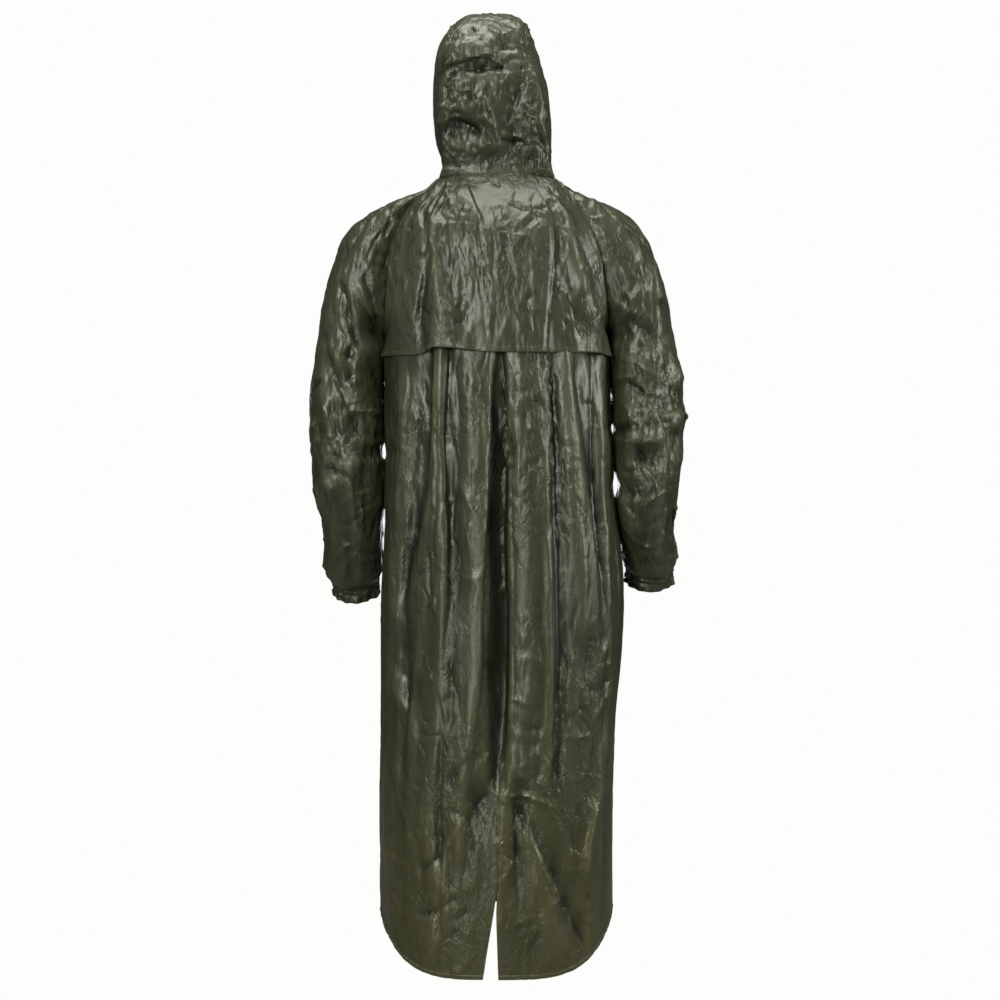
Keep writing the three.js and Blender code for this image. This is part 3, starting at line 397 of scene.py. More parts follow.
def puckers(points, from_seam, height=1.6, reach=9.0):
    """Short uneven wrinkles along a seam, and the groove that its thread pulls in."""
    near = np.exp(-from_seam / (reach * MM))
    groove = -0.9 * np.exp(-from_seam / (2.0 * MM))
    return height * near * wave(points, (15, 15, 13), 9.2) * 2 + groove


CAVITY_REACH = 20 * MM


# This depth is used only for the painted shade in the creases and the painted highlight on their
# crests.
def cavity_depth(points, sign):
    """How far in millimetres each point stands out of, or lies below, the cloth round it."""
    around = points
    for axis in (0, 1):
        spacing = np.median(np.linalg.norm(np.diff(points, axis=axis), axis=2))
        half = max(1, round(CAVITY_REACH / spacing))
        margin = [(half, half) if axis == k else (0, 0) for k in range(3)]
        padded = np.pad(around, margin, mode="reflect", reflect_type="odd")
        total = np.cumsum(padded, axis=axis)
        total = np.insert(total, 0, 0, axis=axis)
        count = 2 * half + 1
        length = points.shape[axis]
        late = np.take(total, range(count, count + length), axis=axis)
        early = np.take(total, range(length), axis=axis)
        around = (late - early) / count
    return ((points - around) * row_normals(around)).sum(axis=2) * sign / MM


def paler_edge(points, pale=6.0, reach=2.0 * MM):
    """How much paler the last row's edge is made."""
    return pale * np.exp(-from_last(points, 0) / reach)


def thicken(skin, smooth_below=30):
    """Gives a cloth skin its thickness, and shades it smoothly over turns below an angle."""
    thick = skin.modifiers.new("thickness", "SOLIDIFY")
    thick.thickness = CLOTH
    thick.offset = -1
    bpy.ops.object.modifier_apply(modifier="thickness")
    bpy.ops.object.shade_smooth_by_angle(angle=math.radians(smooth_below))


def sheet_object(name, points, sign, edge_paling=0.0):
    """A sheet of cloth with its rows and columns on a grid, and its flat measures as its UV map."""
    rows, columns = points.shape[0], points.shape[1]
    bpy.ops.object.select_all(action="DESELECT")
    bpy.ops.mesh.primitive_grid_add(x_subdivisions=columns - 1, y_subdivisions=rows - 1, size=1)
    sheet = bpy.context.object
    sheet.name = sheet.data.name = name
    sheet.data.vertices.foreach_set("co", points.astype(np.float32).ravel())
    flat = np.stack([run_length(points, 1), run_length(points, 0)], axis=2).reshape(-1, 2)
    corners = np.zeros(len(sheet.data.loops), dtype=np.int32)
    sheet.data.loops.foreach_get("vertex_index", corners)
    sheet.data.uv_layers[0].name = "cloth_metres"
    sheet.data.uv_layers[0].data.foreach_set("uv", flat[corners].astype(np.float32).ravel())
    if sign > 0:
        bpy.ops.object.mode_set(mode="EDIT")
        bpy.ops.mesh.select_all(action="SELECT")
        bpy.ops.mesh.flip_normals()
        bpy.ops.object.mode_set(mode="OBJECT")
    sheet.data.update()
    # Painted shade and highlight: each point's depth in a crease or height on a crest, kept for the
    # material to darken or lighten the cloth's colour.
    painted_shade_relief = sheet.data.attributes.new("painted_shade_relief", "FLOAT", "POINT")
    standing = cavity_depth(points, sign) + edge_paling
    painted_shade_relief.data.foreach_set("value", standing.astype(np.float32).ravel())
    thicken(sheet)
    return sheet


def crinkle_group():
    """Small flat facets of crushed nylon that meet in sharp lines, as a height, in patches."""
    group = bpy.data.node_groups.new("nylon_crinkle", "ShaderNodeTree")
    group.interface.new_socket("Vector", in_out="INPUT", socket_type="NodeSocketVector")
    group.interface.new_socket("Facets per metre", in_out="INPUT", socket_type="NodeSocketFloat")
    group.interface.new_socket("Height", in_out="OUTPUT", socket_type="NodeSocketFloat")
    links = group.links
    start, end = group.nodes.new("NodeGroupInput"), group.nodes.new("NodeGroupOutput")
    bend = add_node(group, "TexNoise", {"Scale": 26, "Detail": 3})
    links.new(start.outputs["Vector"], bend.inputs["Vector"])
    push = add_node(group, "VectorMath", {1: (0.03, 0.03, 0.05)}, operation="MULTIPLY_ADD")
    links.new(bend.outputs["Color"], push.inputs[0])
    links.new(start.outputs["Vector"], push.inputs[2])
    tall = add_node(group, "Mapping", {"Scale": (1, 1, 0.42)})
    links.new(push.outputs["Vector"], tall.inputs["Vector"])
    squared = []
    for feature in ("F1", "F2"):
        cells = add_node(group, "TexVoronoi", feature=feature)
        links.new(tall.outputs["Vector"], cells.inputs["Vector"])
        links.new(start.outputs["Facets per metre"], cells.inputs["Scale"])
        square = add_node(group, "Math", {1: 2}, operation="POWER")
        links.new(cells.outputs["Distance"], square.inputs[0])
        squared.append(square)
    apart = add_node(group, "Math", operation="SUBTRACT")
    links.new(squared[1].outputs[0], apart.inputs[0])
    links.new(squared[0].outputs[0], apart.inputs[1])
    where = add_node(group, "TexNoise", {"Scale": 9, "Detail": 2})
    links.new(start.outputs["Vector"], where.inputs["Vector"])
    patches = add_node(group, "MapRange", {"From Min": 0.38, "From Max": 0.62, "To Min": 0.25})
    links.new(where.outputs["Fac"], patches.inputs["Value"])
    height = add_node(group, "Math", operation="MULTIPLY")
    links.new(apart.outputs[0], height.inputs[0])
    links.new(patches.outputs["Result"], height.inputs[1])
    links.new(height.outputs[0], end.inputs["Height"])
    return group


nylon_crinkle = crinkle_group()
NYLON_GLOSS = {
    "Specular IOR Level": 0.6,
    "Specular Tint": (0.97, 1.0, 0.78, 1),
    "Coat Weight": 0.18,
    "Coat Roughness": 0.2,
}


def colour_ramp(tree, stops):
    """A colour ramp between two stops, each a position and a colour."""
    ramp = add_node(tree, "ValToRGB")
    for element, (position, colour) in zip(ramp.color_ramp.elements, stops):
        element.position = position
        element.color = (*colour, 1)
    return ramp


def coated_nylon(name, stops, crinkle_depth):
    """Glossy coated nylon: olive, uneven in tone and gloss, with fine crinkles and a close weave.

    Its colour also carries painted shade in the creases and a painted highlight on their crests, and it
    is browner near the hem.
    """
    material = bpy.data.materials.new(name)
    material.use_nodes = True
    tree, links = material.node_tree, material.node_tree.links
    surface = tree.nodes["Principled BSDF"]
    place = add_node(tree, "TexCoord")

    tone = add_node(tree, "TexNoise", {"Scale": 7, "Detail": 6, "Roughness": 0.62})
    links.new(place.outputs["Object"], tone.inputs["Vector"])
    colours = colour_ramp(tree, stops)
    links.new(tone.outputs["Fac"], colours.inputs["Fac"])
    height = add_node(tree, "SeparateXYZ")
    links.new(place.outputs["Object"], height.inputs["Vector"])
    low = add_node(tree, "MapRange", {"From Min": -0.7, "From Max": -1.1})
    links.new(height.outputs["Z"], low.inputs["Value"])
    browner = add_node(tree, "Mix", data_type="RGBA", blend_type="MULTIPLY")
    browner.inputs[7].default_value = (1.45, 1.36, 1.0, 1)
    links.new(low.outputs["Result"], browner.inputs[0])
    links.new(colours.outputs["Color"], browner.inputs[6])
    # Painted shade and highlight: the base colour is scaled down in the creases and up on the crests.
    painted_shade_relief = add_node(tree, "Attribute", attribute_name="painted_shade_relief")
    standing = {"From Min": -4.5, "From Max": 8, "To Min": 0.15, "To Max": 2.3}
    shade = add_node(tree, "MapRange", standing)
    links.new(painted_shade_relief.outputs["Fac"], shade.inputs["Value"])
    shaded = add_node(tree, "VectorMath", operation="SCALE")
    links.new(browner.outputs[2], shaded.inputs[0])
    links.new(shade.outputs["Result"], shaded.inputs["Scale"])
    links.new(shaded.outputs["Vector"], surface.inputs["Base Color"])

    gloss = add_node(tree, "TexNoise", {"Scale": 26, "Detail": 4})
    links.new(place.outputs["Object"], gloss.inputs["Vector"])
    roughness = add_node(tree, "MapRange", {"To Min": 0.32, "To Max": 0.52})
    links.new(gloss.outputs["Fac"], roughness.inputs["Value"])
    links.new(roughness.outputs["Result"], surface.inputs["Roughness"])

    bumps = []
    for facets, depth in ((55, 1.0), (150, 0.3)):
        crinkle = add_node(tree, "Group", {"Facets per metre": facets}, node_tree=nylon_crinkle)
        links.new(place.outputs["Object"], crinkle.inputs["Vector"])
        bump = add_node(tree, "Bump", {"Strength": 1.0, "Distance": crinkle_depth * depth})
        links.new(crinkle.outputs["Height"], bump.inputs["Height"])
        bumps.append(bump)
    weave = add_node(tree, "TexNoise", {"Scale": 1400, "Detail": 1})
    links.new(place.outputs["UV"], weave.inputs["Vector"])
    fine = add_node(tree, "Bump", {"Strength": 0.25, "Distance": 0.15 * MM})
    links.new(weave.outputs["Fac"], fine.inputs["Height"])
    links.new(bumps[0].outputs["Normal"], bumps[1].inputs["Normal"])
    links.new(bumps[1].outputs["Normal"], fine.inputs["Normal"])
    links.new(fine.outputs["Normal"], surface.inputs["Normal"])
    for socket, value in NYLON_GLOSS.items():
        surface.inputs[socket].default_value = value
    return material


DARK_OLIVE = (0.029, 0.031, 0.0155)
PALER_OLIVE = (0.04, 0.042, 0.023)
CRINKLE_DEPTH = 1.9 * MM
nylon_stops = (0.32, DARK_OLIVE), (0.72, PALER_OLIVE)
nylon = coated_nylon("olive_coated_nylon", nylon_stops, CRINKLE_DEPTH)


def finish_piece(piece, nodes, material):
    """Gives a sewn piece its material, hangs it from the root and hides the CAD parts that it stands
    for.
    """
    piece.data.materials.clear()
    piece.data.materials.append(material)
    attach(piece, "root")
    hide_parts(*nodes)


def flat_size(points):
    """The cut of a sheet: its greatest width and length, and its area."""
    width = float(run_length(points, 1)[:, -1].max())
    length = float(run_length(points, 0)[-1].max())
    cells = np.cross(np.diff(points, axis=0)[:, :-1], np.diff(points, axis=1)[:-1])
    area = float(np.linalg.norm(cells, axis=2).sum())
    size = round(width, 3), round(length, 3)
    return size, round(min(area, size[0] * size[1]), 5)


BACK_CREASES = [
    ((-116, -288), (-99, -355), (2, 3), 1.8, 2),
    ((-107, -338), (-99, -355), (2, 3), 2.2),
    ((-161, -288), (-142, -371), (2, 5), 2.4, -2),
    ((-152, -284), (-158, -330), (3, 4), -1.8),
    ((-132, -280), (-136, -360), (3, 3), -1.6, 2),
    ((-150, -372), (-128, -396), (2, 4), 1.4),
    ((-102, -484), (-106, -560), (2, 3), 1.8, -2),
    ((-106, -550), (-98, -652), (2, 3), -2.0, 2),
    ((-98, -440), (-136, -590), (5, 3), -2.2, 4),
    ((-92, -300), (-98, -640), (1.5, 1.5), 1.6, 1),
    ((-89, -310), (-93, -600), (1.5, 1.5), -1.6, 1),
    ((-57, -464), (-23, -530), (2, 4), 1.8, -3),
    ((-41, -494), (2, -560), (3, 2), -1.6, 2),
    ((-44, -480), (-50, -540), (2, 3), 1.2),
    ((-60, -330), (-36, -344), (2, 3), 1.0),
    ((-12, -433), (23, -442), (1.5, 2), 1.8),
    ((-2, -290), (10, -400), (2, 2), -2.0, 3),
    ((8, -300), (-2, -350), (2, 2), 1.6),
    ((-4, -360), (12, -392), (2, 2), -1.8),
    ((-29, -621), (-14, -667), (1.5, 3), 2.2, -1),
    ((-12, -590), (-29, -614), (2, 3), 1.6),
    ((-52, -560), (-60, -650), (3, 4), -1.8),
    ((104, -421), (121, -435), (2, 3), 2.6),
    ((98, -418), (94, -440), (2, 2), 1.6),
    ((107, -465), (145, -530), (2, 3), 1.4),
    ((149, -536), (151, -562), (2, 3), 3.2),
    ((155, -530), (164, -617), (2, 4), -2.4, 1),
    ((173, -568), (164, -614), (2, 3), 1.8),
    ((132, -392), (158, -354), (1.5, 2), 1.4),
    ((23, -654), (73, -654), (2, 2), -1.4),
    ((21, -736), (58, -733), (2, 3), 1.8, 1),
    ((54, -729), (77, -756), (2, 3), 2.0),
    ((52, -740), (66, -780), (3, 3), -1.8, 3),
    ((22, -814), (50, -843), (3, 3), -1.8, -4),
    ((48, -843), (74, -838), (3, 3), -1.6),
    ((24, -850), (80, -852), (3, 3), 1.6),
    ((26, -863), (78, -863), (3, 3), -1.8),
    ((-126, -856), (-84, -856), (2, 3), -1.4),
    ((106, -855), (146, -862), (2, 3), 2.0),
    ((-74, -858), (-32, -846), (2, 3), 2.8, 1),
    ((-50, -810), (-72, -857), (3, 5), 1.8),
    ((-86, -775), (-75, -833), (2, 3), 2.0),
    ((-62, -770), (-52, -830), (2, 4), -1.4),
    ((110, -726), (101, -792), (2, 3), -2.6),
    ((118, -722), (106, -790), (2, 3), 2.0),
    ((104, -836), (136, -812), (3, 3), -2.0),
    ((-179, -790), (-141, -859), (3, 5), -2.6, 2),
    ((-172, -776), (-134, -840), (2, 3), 2.2, 3),
    ((-168, -734), (-134, -776), (5, 7), -1.6, -3),
    ((-138, -730), (-132, -774), (2, 4), 1.8),
    ((-173, -866), (-118, -1058), (3, 5), 2.0, -4),
    ((-170, -900), (-136, -1010), (3, 4), -1.8, -3),
    ((-160, -880), (-146, -960), (3, 3), 1.4),
    ((-176, -1050), (-130, -1062), (3, 4), 1.8),
    ((135, -775), (178, -750), (3, 4), 2.2, -2),
    ((140, -800), (182, -770), (3, 4), -2.2, -2),
    ((150, -836), (182, -790), (3, 5), 2.4, 2),
    ((132, -712), (174, -706), (4, 5), -2.0, -5),
    ((178, -904), (160, -965), (7, 2.5), 5.5, -2),
    ((160, -955), (135, -1084), (7, 2.5), 5.5, -4),
    ((-15, -943), (-56, -992), (3, 4), -3.4, -3),
    ((-54, -986), (-73, -1038), (3, 4), -3.0, -2),
    ((-72, -1030), (-72, -1092), (3, 4), -2.6),
    ((-21, -946), (-84, -1040), (4, 3), 2.6, -5),
    ((-84, -1036), (-115, -1062), (3, 3), -3.2),
    ((-83, -905), (-76, -1006), (3, 5), -3.4, 3),
    ((-28, -874), (-78, -932), (5, 8), -3.4, -3),
    ((-20, -878), (-16, -935), (2, 3), 2.2, -2),
    ((-3, -880), (0, -940), (3, 3), -2.6, 2),
    ((10, -870), (18, -930), (2, 3), 1.8),
    ((28, -966), (29, -1046), (2.5, 2.5), -3.0),
    ((33, -958), (45, -1006), (2.5, 3), -3.0, 1),
    ((50, -985), (96, -1096), (2, 6), -4.6, -1),
    ((94, -1092), (133, -1185), (2, 5), -3.6),
    ((40, -985), (88, -1100), (6, 3), 2.2),
    ((10, -960), (4, -1050), (5, 6), 1.8),
    ((-20, -960), (-34, -1090), (4, 5), 1.6, -3),
    ((-17, -930), (18, -957), (2, 2), 3.4),
    ((0, -941), (36, -943), (2, 3), 3.2, -1),
    ((32, -940), (90, -963), (3, 2), 4.0, 2),
    ((99, -978), (119, -972), (2, 3), 2.6),
    ((106, -981), (116, -1036), (2, 4), -2.0, 3),
    ((-121, -1133), (-86, -1119), (3, 4), -3.2, -2),
    ((-88, -1120), (-62, -1100), (3, 4), -3.0, 2),
    ((-80, -1136), (-44, -1116), (3, 3), -2.6, -3),
    ((-88, -1122), (-92, -1160), (3, 5), -1.8),
    ((26, -1139), (60, -1130), (2, 3), 1.8),
    ((24, -1150), (56, -1148), (3, 3), -1.4),
    ((-72, -1203), (-58, -1216), (2, 3), 2.6),
    ((32, -908), (48, -917), (2, 3), 2.4),
    ((61, -920), (74, -931), (2, 3), 2.4),
    ((-126, -950), (-100, -952), (3, 3), 1.4),
    ((-120, -900), (-116, -1000), (4, 4), 1.2, 3),
]
FOLD_LEVELS = (-277, -407, -530, -652, -775, -897, -1035, -1173)
BACK_FOLDS = [
    {"x": (-170, -170, -174, -176, -176, -174, -172, -168), "out": (0, 0, 0, 0, 0, 0, 0, 0)},
    {"x": (-161, -161, -163, -166, -161, -161, -161, -156), "out": (2, 3, 3, 3, 1, 1, 1, 0)},
    {"x": (-120, -109, -135, -153, -149, -151, -153, -149), "out": (3, 4, 4, 2, 1, 1, 0, 0)},
    {"x": (-102, -102, -123, -143, -135, -145, -145, -141), "out": (-5, -5, -5, -5, -6, -3, -2, 0)},
    {"x": (-95, -96, -105, -114, -127, -129, -125, -123), "out": (4, 4, 4, 4, 2, 2, 2, 1)},
    {"x": (-84, -84, -80, -79, -90, -94, -92, -92), "out": (5, 5, 4, 3, 2, 2, 2, 1)},
    {"x": (-72, -74, -69, -72, -82, -87, -85, -85), "out": (-4, -4, -3, -1, 0, -2, -1, 0)},
    {"x": (-64, -64, -60, -66, -74, -80, -78, -78), "out": (2, 2, 2, 2, 2, 2, 1, 1)},
    {"x": (-8, -13, -17, -26, -28, -48, -55, -57), "out": (5, 5, 5, 6, 6, 4, 2, 1)},
    {"x": (-2, -6, -10, -18, -20, -38, -44, -46), "out": (-1, -3, -5, -6, -6, -3, 0, 0)},
    {"x": (9, 11, 11, 12, 12, 4, -10, -19), "out": (-7, -11, -13, -13, -12, -7, -2, 0)},
    {"x": (15, 17, 18, 19, 19, 19, 17, 17), "out": (2, 2, 1, 1, 1, 1, 0, 0)},
    {"x": (33, 33, 33, 33, 33, 33, 34, 36), "out": (3, 3, 3, 3, 3, 2, 1, 0)},
    {"x": (67, 71, 72, 75, 75, 75, 75, 76), "out": (1, 1, 1, 1, 1, 1, 1, 1)},
    {"x": (78, 78, 78, 79, 81, 84, 86, 91), "out": (3, 3, 3, 3, 3, 2, 1, 1)},
    {"x": (86, 87, 90, 92, 94, 97, 99, 105), "out": (3, 1, 0, 0, 0, 0, 0, 0)},
    {"x": (92, 95, 97, 98, 101, 104, 109, 115), "out": (5, 4, 3, 2, 2, 2, 1, 1)},
    {"x": (101, 120, 141, 153, 157, 157, 153, 149), "out": (9, 9, 8, 4, 1, 1, 0, 0)},
    {"x": (153, 150, 153, 163, 166, 166, 164, 161), "out": (-9, -9, -7, -2, 0, 0, 0, 0)},
    {"x": (164, 163, 166, 172, 174, 174, 172, 168), "out": (2, 3, 3, 2, 1, 1, 0, 0)},
    {"x": (172, 174, 176, 180, 182, 182, 180, 176), "out": (0, 0, 0, 0, 0, 0, 0, 0)},
]
BACK_CREASES += scattered(11, 230, (-176, -1180), (176, -280), tall=(0.8, 2.4))
BACK_CREASES += scattered(12, 80, (20, -520), (100, -280), 40, (8, 28), (0.9, 2.2))
YOKE_HEM_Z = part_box("back_yoke")[0].z
VENT_TOP = -1.085
ALLOWANCE = 7 * MM
BACK_PANEL = {"columns": 20, "row_parts": 12, "column_parts": 6}


def crests(points, size, shift=0.0):
    """Narrow crests with broad hollows between them, from -0.3 to 0.7."""
    rise = 1 - np.minimum(np.abs(wave(points, size, shift)) * 2.4, 1)
    return rise * rise - 0.3


CRUSH = {
    "broad": {"height": 2.3, "wide": 46, "high": 130, "shift": 1.4},
    "middle": {"height": 2.1, "wide": 19, "high": 52, "shift": 2.2},
    "lines": {"height": 1.2, "wide": 26, "high": 90, "shift": 7.7},
    "small": {"height": 1.05, "wide": 8.5, "high": 20, "shift": 6.4},
}


def crushed(points, tall=1.0, strength=1.0):
    """Height in millimetres of the crush that packing leaves all over, longer up and down."""
    bent = points.copy()
    bent[..., 0] += 13 * MM * wave(points, (85, 85, 150), 4.0)
    heights = {}
    for name, layer in CRUSH.items():
        pattern = crests if name == "lines" else crumple
        size = layer["wide"], layer["wide"], layer["high"] * tall
        heights[name] = layer["height"] * pattern(bent, size, layer["shift"])
    patchy = 0.3 + 0.9 * smooth_step(wave(points, (120, 120, 150), 5.3), -0.35, 0.45)
    patches = patchy * (heights["middle"] + heights["lines"] + heights["small"])
    return strength * (heights["broad"] + patches)


def edge_line(points, sign, axis, last, distance):
    """The line along one edge of a sheet at a distance from it, and the directions out of it."""
    turned = np.moveaxis(points, axis, 0)
    outward = np.moveaxis(row_normals(points) * sign, axis, 0)
    if last:
        turned, outward = turned[::-1], outward[::-1]
    length = run_length(turned, 0)
    line, out = np.empty(turned.shape[1:]), np.empty(turned.shape[1:])
    for place in range(turned.shape[1]):
        for axis_3d in range(3):
            line[place, axis_3d] = np.interp(distance, length[:, place], turned[:, place, axis_3d])
            out[place, axis_3d] = np.interp(distance, length[:, place], outward[:, place, axis_3d])
    return line, out


def with_hem(points, sign, axis, last, depth):
    """Turns a hem up along one edge: its doubled band stands a little proud, with a crisp step."""
    turned = np.moveaxis(points, axis, 0)
    turned = turned[::-1] if last else turned
    kept = turned[run_length(turned, 0).min(axis=1) > depth + 1.5 * MM]
    band_top = (depth - 0.5 * MM, 0.7), (depth, 0), (depth + MM, 0)
    band = []
    for distance, proud in ((0, 0), (1.2 * MM, 0.5), (depth / 2, 0.8), *band_top):
        line, out = edge_line(points, sign, axis, last, distance)
        band.append(line + out * proud * MM)
    turned = np.concatenate([np.array(band), kept])
    turned = turned[::-1] if last else turned
    return np.moveaxis(turned, 0, axis)


HEM_STITCH = 1.5 * MM
STITCH = {"long": 2.3 * MM, "wide": 0.55 * MM, "high": 0.45 * MM, "pitch": 3.3 * MM}


def stitches_along(line, out, highest, lowest):
    """Places, directions along and directions out of a row of stitches on a line."""
    length = np.concatenate([[0], np.cumsum(np.linalg.norm(np.diff(line, axis=0), axis=1))])
    row = []
    for along in np.arange(STITCH["pitch"] / 2, length[-1], STITCH["pitch"]):
        ends = [
            Vector([np.interp(along + step, length, line[:, k]) for k in range(3)])
            for step in (-STITCH["long"] / 2, STITCH["long"] / 2)
        ]
        place = (ends[0] + ends[1]) / 2
        upward = Vector([np.interp(along, length, out[:, k]) for k in range(3)]).normalized()
        if lowest < place.z < highest:
            row.append((place, (ends[1] - ends[0]).normalized(), upward))
    return row


def seam_row(points, sign, axis, last, distance, highest=1.0, lowest=-2.0):
    """A row of stitches along one edge of a sheet, at a distance from it."""
    return stitches_along(*edge_line(points, sign, axis, last, distance), highest, lowest)


def sew(name, rows, thread):
    """Makes the stitches of some rows in one mesh: one stitch is shaped, and each one is its copy."""
    bpy.ops.object.select_all(action="DESELECT")
    bpy.ops.mesh.primitive_cube_add(size=1)
    stitch = bpy.context.object
    bpy.ops.object.mode_set(mode="EDIT")
    shape = bmesh.from_edit_mesh(stitch.data)
    for vertex in shape.verts:
        vertex.select = vertex.co.z > 0
    shape.select_flush(True)
    bpy.ops.transform.resize(value=(0.7, 0.6, 1))
    bpy.ops.object.mode_set(mode="OBJECT")
    stitch.name = stitch.data.name = name
    corners = np.array([v.co[:] for v in stitch.data.vertices])
    faces = [tuple(face.vertices) for face in stitch.data.polygons]
    size = (STITCH["long"], STITCH["wide"], STITCH["high"])
    all_corners, all_faces = [], []
    for place, along, upward in (one for row in rows for one in row):
        sideways = upward.cross(along).normalized()
        turn = np.array([along[:], sideways[:], along.cross(sideways)[:]])
        first = len(all_corners) * len(corners)
        all_faces += [tuple(first + corner for corner in face) for face in faces]
        all_corners.append((corners * size) @ turn + np.array(place[:]))
    sewn = bpy.data.meshes.new(name)
    sewn.from_pydata(np.concatenate(all_corners).tolist(), [], all_faces)
    stitch.data = sewn
    sewn.materials.append(thread)
    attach(stitch, "root")
    return stitch


def sewing_thread():
    """Twisted polyester thread, a little lighter than the cloth and hardly glossy."""
    material = bpy.data.materials.new("olive_thread")
    material.use_nodes = True
    tree, links = material.node_tree, material.node_tree.links
    surface = tree.nodes["Principled BSDF"]
    place = add_node(tree, "TexCoord")
    twist = add_node(tree, "TexNoise", {"Scale": 900})
    links.new(place.outputs["Object"], twist.inputs["Vector"])
    colours = colour_ramp(tree, ((0, (0.045, 0.048, 0.028)), (1, (0.12, 0.125, 0.085))))
    links.new(twist.outputs["Fac"], colours.inputs["Fac"])
    links.new(colours.outputs["Color"], surface.inputs["Base Color"])
    surface.inputs["Roughness"].default_value = 0.6
    return material


thread = sewing_thread()
HEM = 7 * MM
SEAM_STITCH = 2 * MM
SIDE_STITCH = 2.5 * MM
VENT_STITCH = 4 * MM


def thinned(points, hidden):
    """The sheet with two of three rows left out where it is hidden."""
    rows = [row for row in range(len(points)) if not hidden[row] or row % 3 == 0]
    return points[rows]


FACING = (0.12, 0.55)


def facing_back(points, sign):
    """1 where the cloth faces back, falling to 0 at the sides."""
    return smooth_step(-sign * row_normals(points)[..., 1], *FACING)


BODY_SIDE_SWELL = 2.5
PRESSED_UNDER_FLAP = 3.0
LOOSE_BELOW_FLAP = (5 * MM, 35 * MM)
UNDER_FLAP = {"hem": 50 * MM, "neck": (10 * MM, 60 * MM), "side": 30 * MM}
HIDDEN_UNDER_FLAP = 30 * MM
VENT_FADE = 10 * MM
BESIDE_SLEEVE = {
    "left": {
        "z": (-240, -262, -330, -363, -395, -410, -420, -432, -440, -462, -508, -522, -535),
        "near": (0, 1.1, 1.6, 2.1, 1.9, 1.5, 0.7, 0.5, 1.45, 1.5, 1.2, 0.4, 0),
    },
    "right": {
        "z": (
            *(-240, -262, -320, -363, -380, -389, -400, -415),
            *(-450, -466, -478, -492, -502, -520, -560, -590),
        ),
        "near": (0, 1.1, 1.6, 1.7, 1.8, 0.9, 1.7, 1.8, 1.4, 0.9, 0, 0.4, 1.5, 1.6, 1.2, 0),
    },
}


def beside_sleeve(z, side):
    """1 at the heights where the sleeve lies close beside the body, and 0 elsewhere."""
    table = BESIDE_SLEEVE[side]
    return np.interp(-z / MM, [-level for level in table["z"]], table["near"])


for side in ("left", "right"):
    rows, sign = panel_rows(f"back_{side}", BACK_PANEL["columns"])
    points = finer(rows, BACK_PANEL["row_parts"], BACK_PANEL["column_parts"])
    flat, area = flat_size(points)
    z = points[..., 2]
    above_hem = z - YOKE_HEM_Z
    loose = 1 - smooth_step(above_hem, *LOOSE_BELOW_FLAP)
    under_flap = smooth_step(above_hem, 0, UNDER_FLAP["hem"]) * smooth_step(-z, *UNDER_FLAP["neck"])
    from_side = from_last(points, 1)
    under_flap = under_flap * smooth_step(from_side, 0, UNDER_FLAP["side"])
    height = creases(BACK_CREASES, points) + folded(points, BACK_FOLDS, FOLD_LEVELS)
    height = height * facing_back(points, sign)
    height = (height + crushed(points, 2.0, 0.75)) * loose - PRESSED_UNDER_FLAP * under_flap
    from_centre = run_length(points, 1)
    height += BODY_SIDE_SWELL * beside_sleeve(z, side) * (1 - facing_back(points, sign))
    sewn = smooth_step(z, VENT_TOP - VENT_FADE, VENT_TOP)
    height += puckers(points, from_centre, 1.0, 6) * sewn * loose
    height += puckers(points, from_side, 1.2) * loose
    points = raised(points, height, sign)
    points = thinned(points, points[..., 2].min(axis=1) > YOKE_HEM_Z + HIDDEN_UNDER_FLAP)
    points = with_hem(points, sign, 0, True, HEM)
    back_rows = [
        seam_row(points, sign, 0, True, HEM - HEM_STITCH),
        seam_row(points, sign, 1, True, SIDE_STITCH, YOKE_HEM_Z),
        seam_row(points, sign, 1, False, VENT_STITCH, VENT_TOP),
    ]
    if side == "right":
        back_rows.append(seam_row(points, sign, 1, False, SEAM_STITCH, YOKE_HEM_Z, VENT_TOP))
    sewn = smooth_step(points[:, 0, 2], VENT_TOP - VENT_FADE, VENT_TOP)
    points = tuck_under(points, sign, 1, False, ALLOWANCE * sewn)
    points = tuck_under(points, sign, 1, True, ALLOWANCE)
    half = sheet_object(f"cloth_back_{side}", points, sign, paler_edge(points, 3.0))
    finish_piece(half, [f"back_{side}"], nylon)
    sew(f"stitches_back_{side}", back_rows, thread)

# The fronts: two panels like the back, from the neck to the hem.
# They meet under the strip that covers the opening, and hang in soft folds of their own.
FRONT_CREASES = [
    ((-72, -190), (-86, -800), (6, 7), 2.8, 4),
    ((-100, -160), (-114, -640), (7, 5), -2.8, -4),
    ((-136, -310), (-150, -900), (6, 8), 2.4, 3),
    ((-94, -800), (-122, -1180), (6, 5), -3.0, 4),
    ((-56, -840), (-64, -1190), (6, 8), 2.4, 3),
    ((-42, -300), (-48, -700), (4, 4), -1.6),
    ((64, -180), (76, -580), (5, 6), -2.6, 4),
    ((92, -220), (104, -850), (6, 7), 3.0, -4),
    ((132, -280), (150, -760), (7, 5), -2.8, 4),
    ((62, -700), (70, -1180), (6, 6), -2.6, -3),
    ((110, -860), (138, -1180), (6, 8), 2.8, 4),
    ((44, -860), (48, -1150), (4, 5), 1.8),
    ((-150, -250), (-96, -330), (5, 7), -2.2, 4),
    ((150, -250), (100, -340), (5, 7), -2.2, -4),
]
FRONT_CREASES += scattered(21, 200, (-176, -1150), (176, -60), tall=(0.8, 2.4))
FLY_HALF = 26 * MM
BESIDE_FLY = 30 * MM
FRONT_PANEL = {"columns": 14, "row_parts": 10, "column_parts": 5}

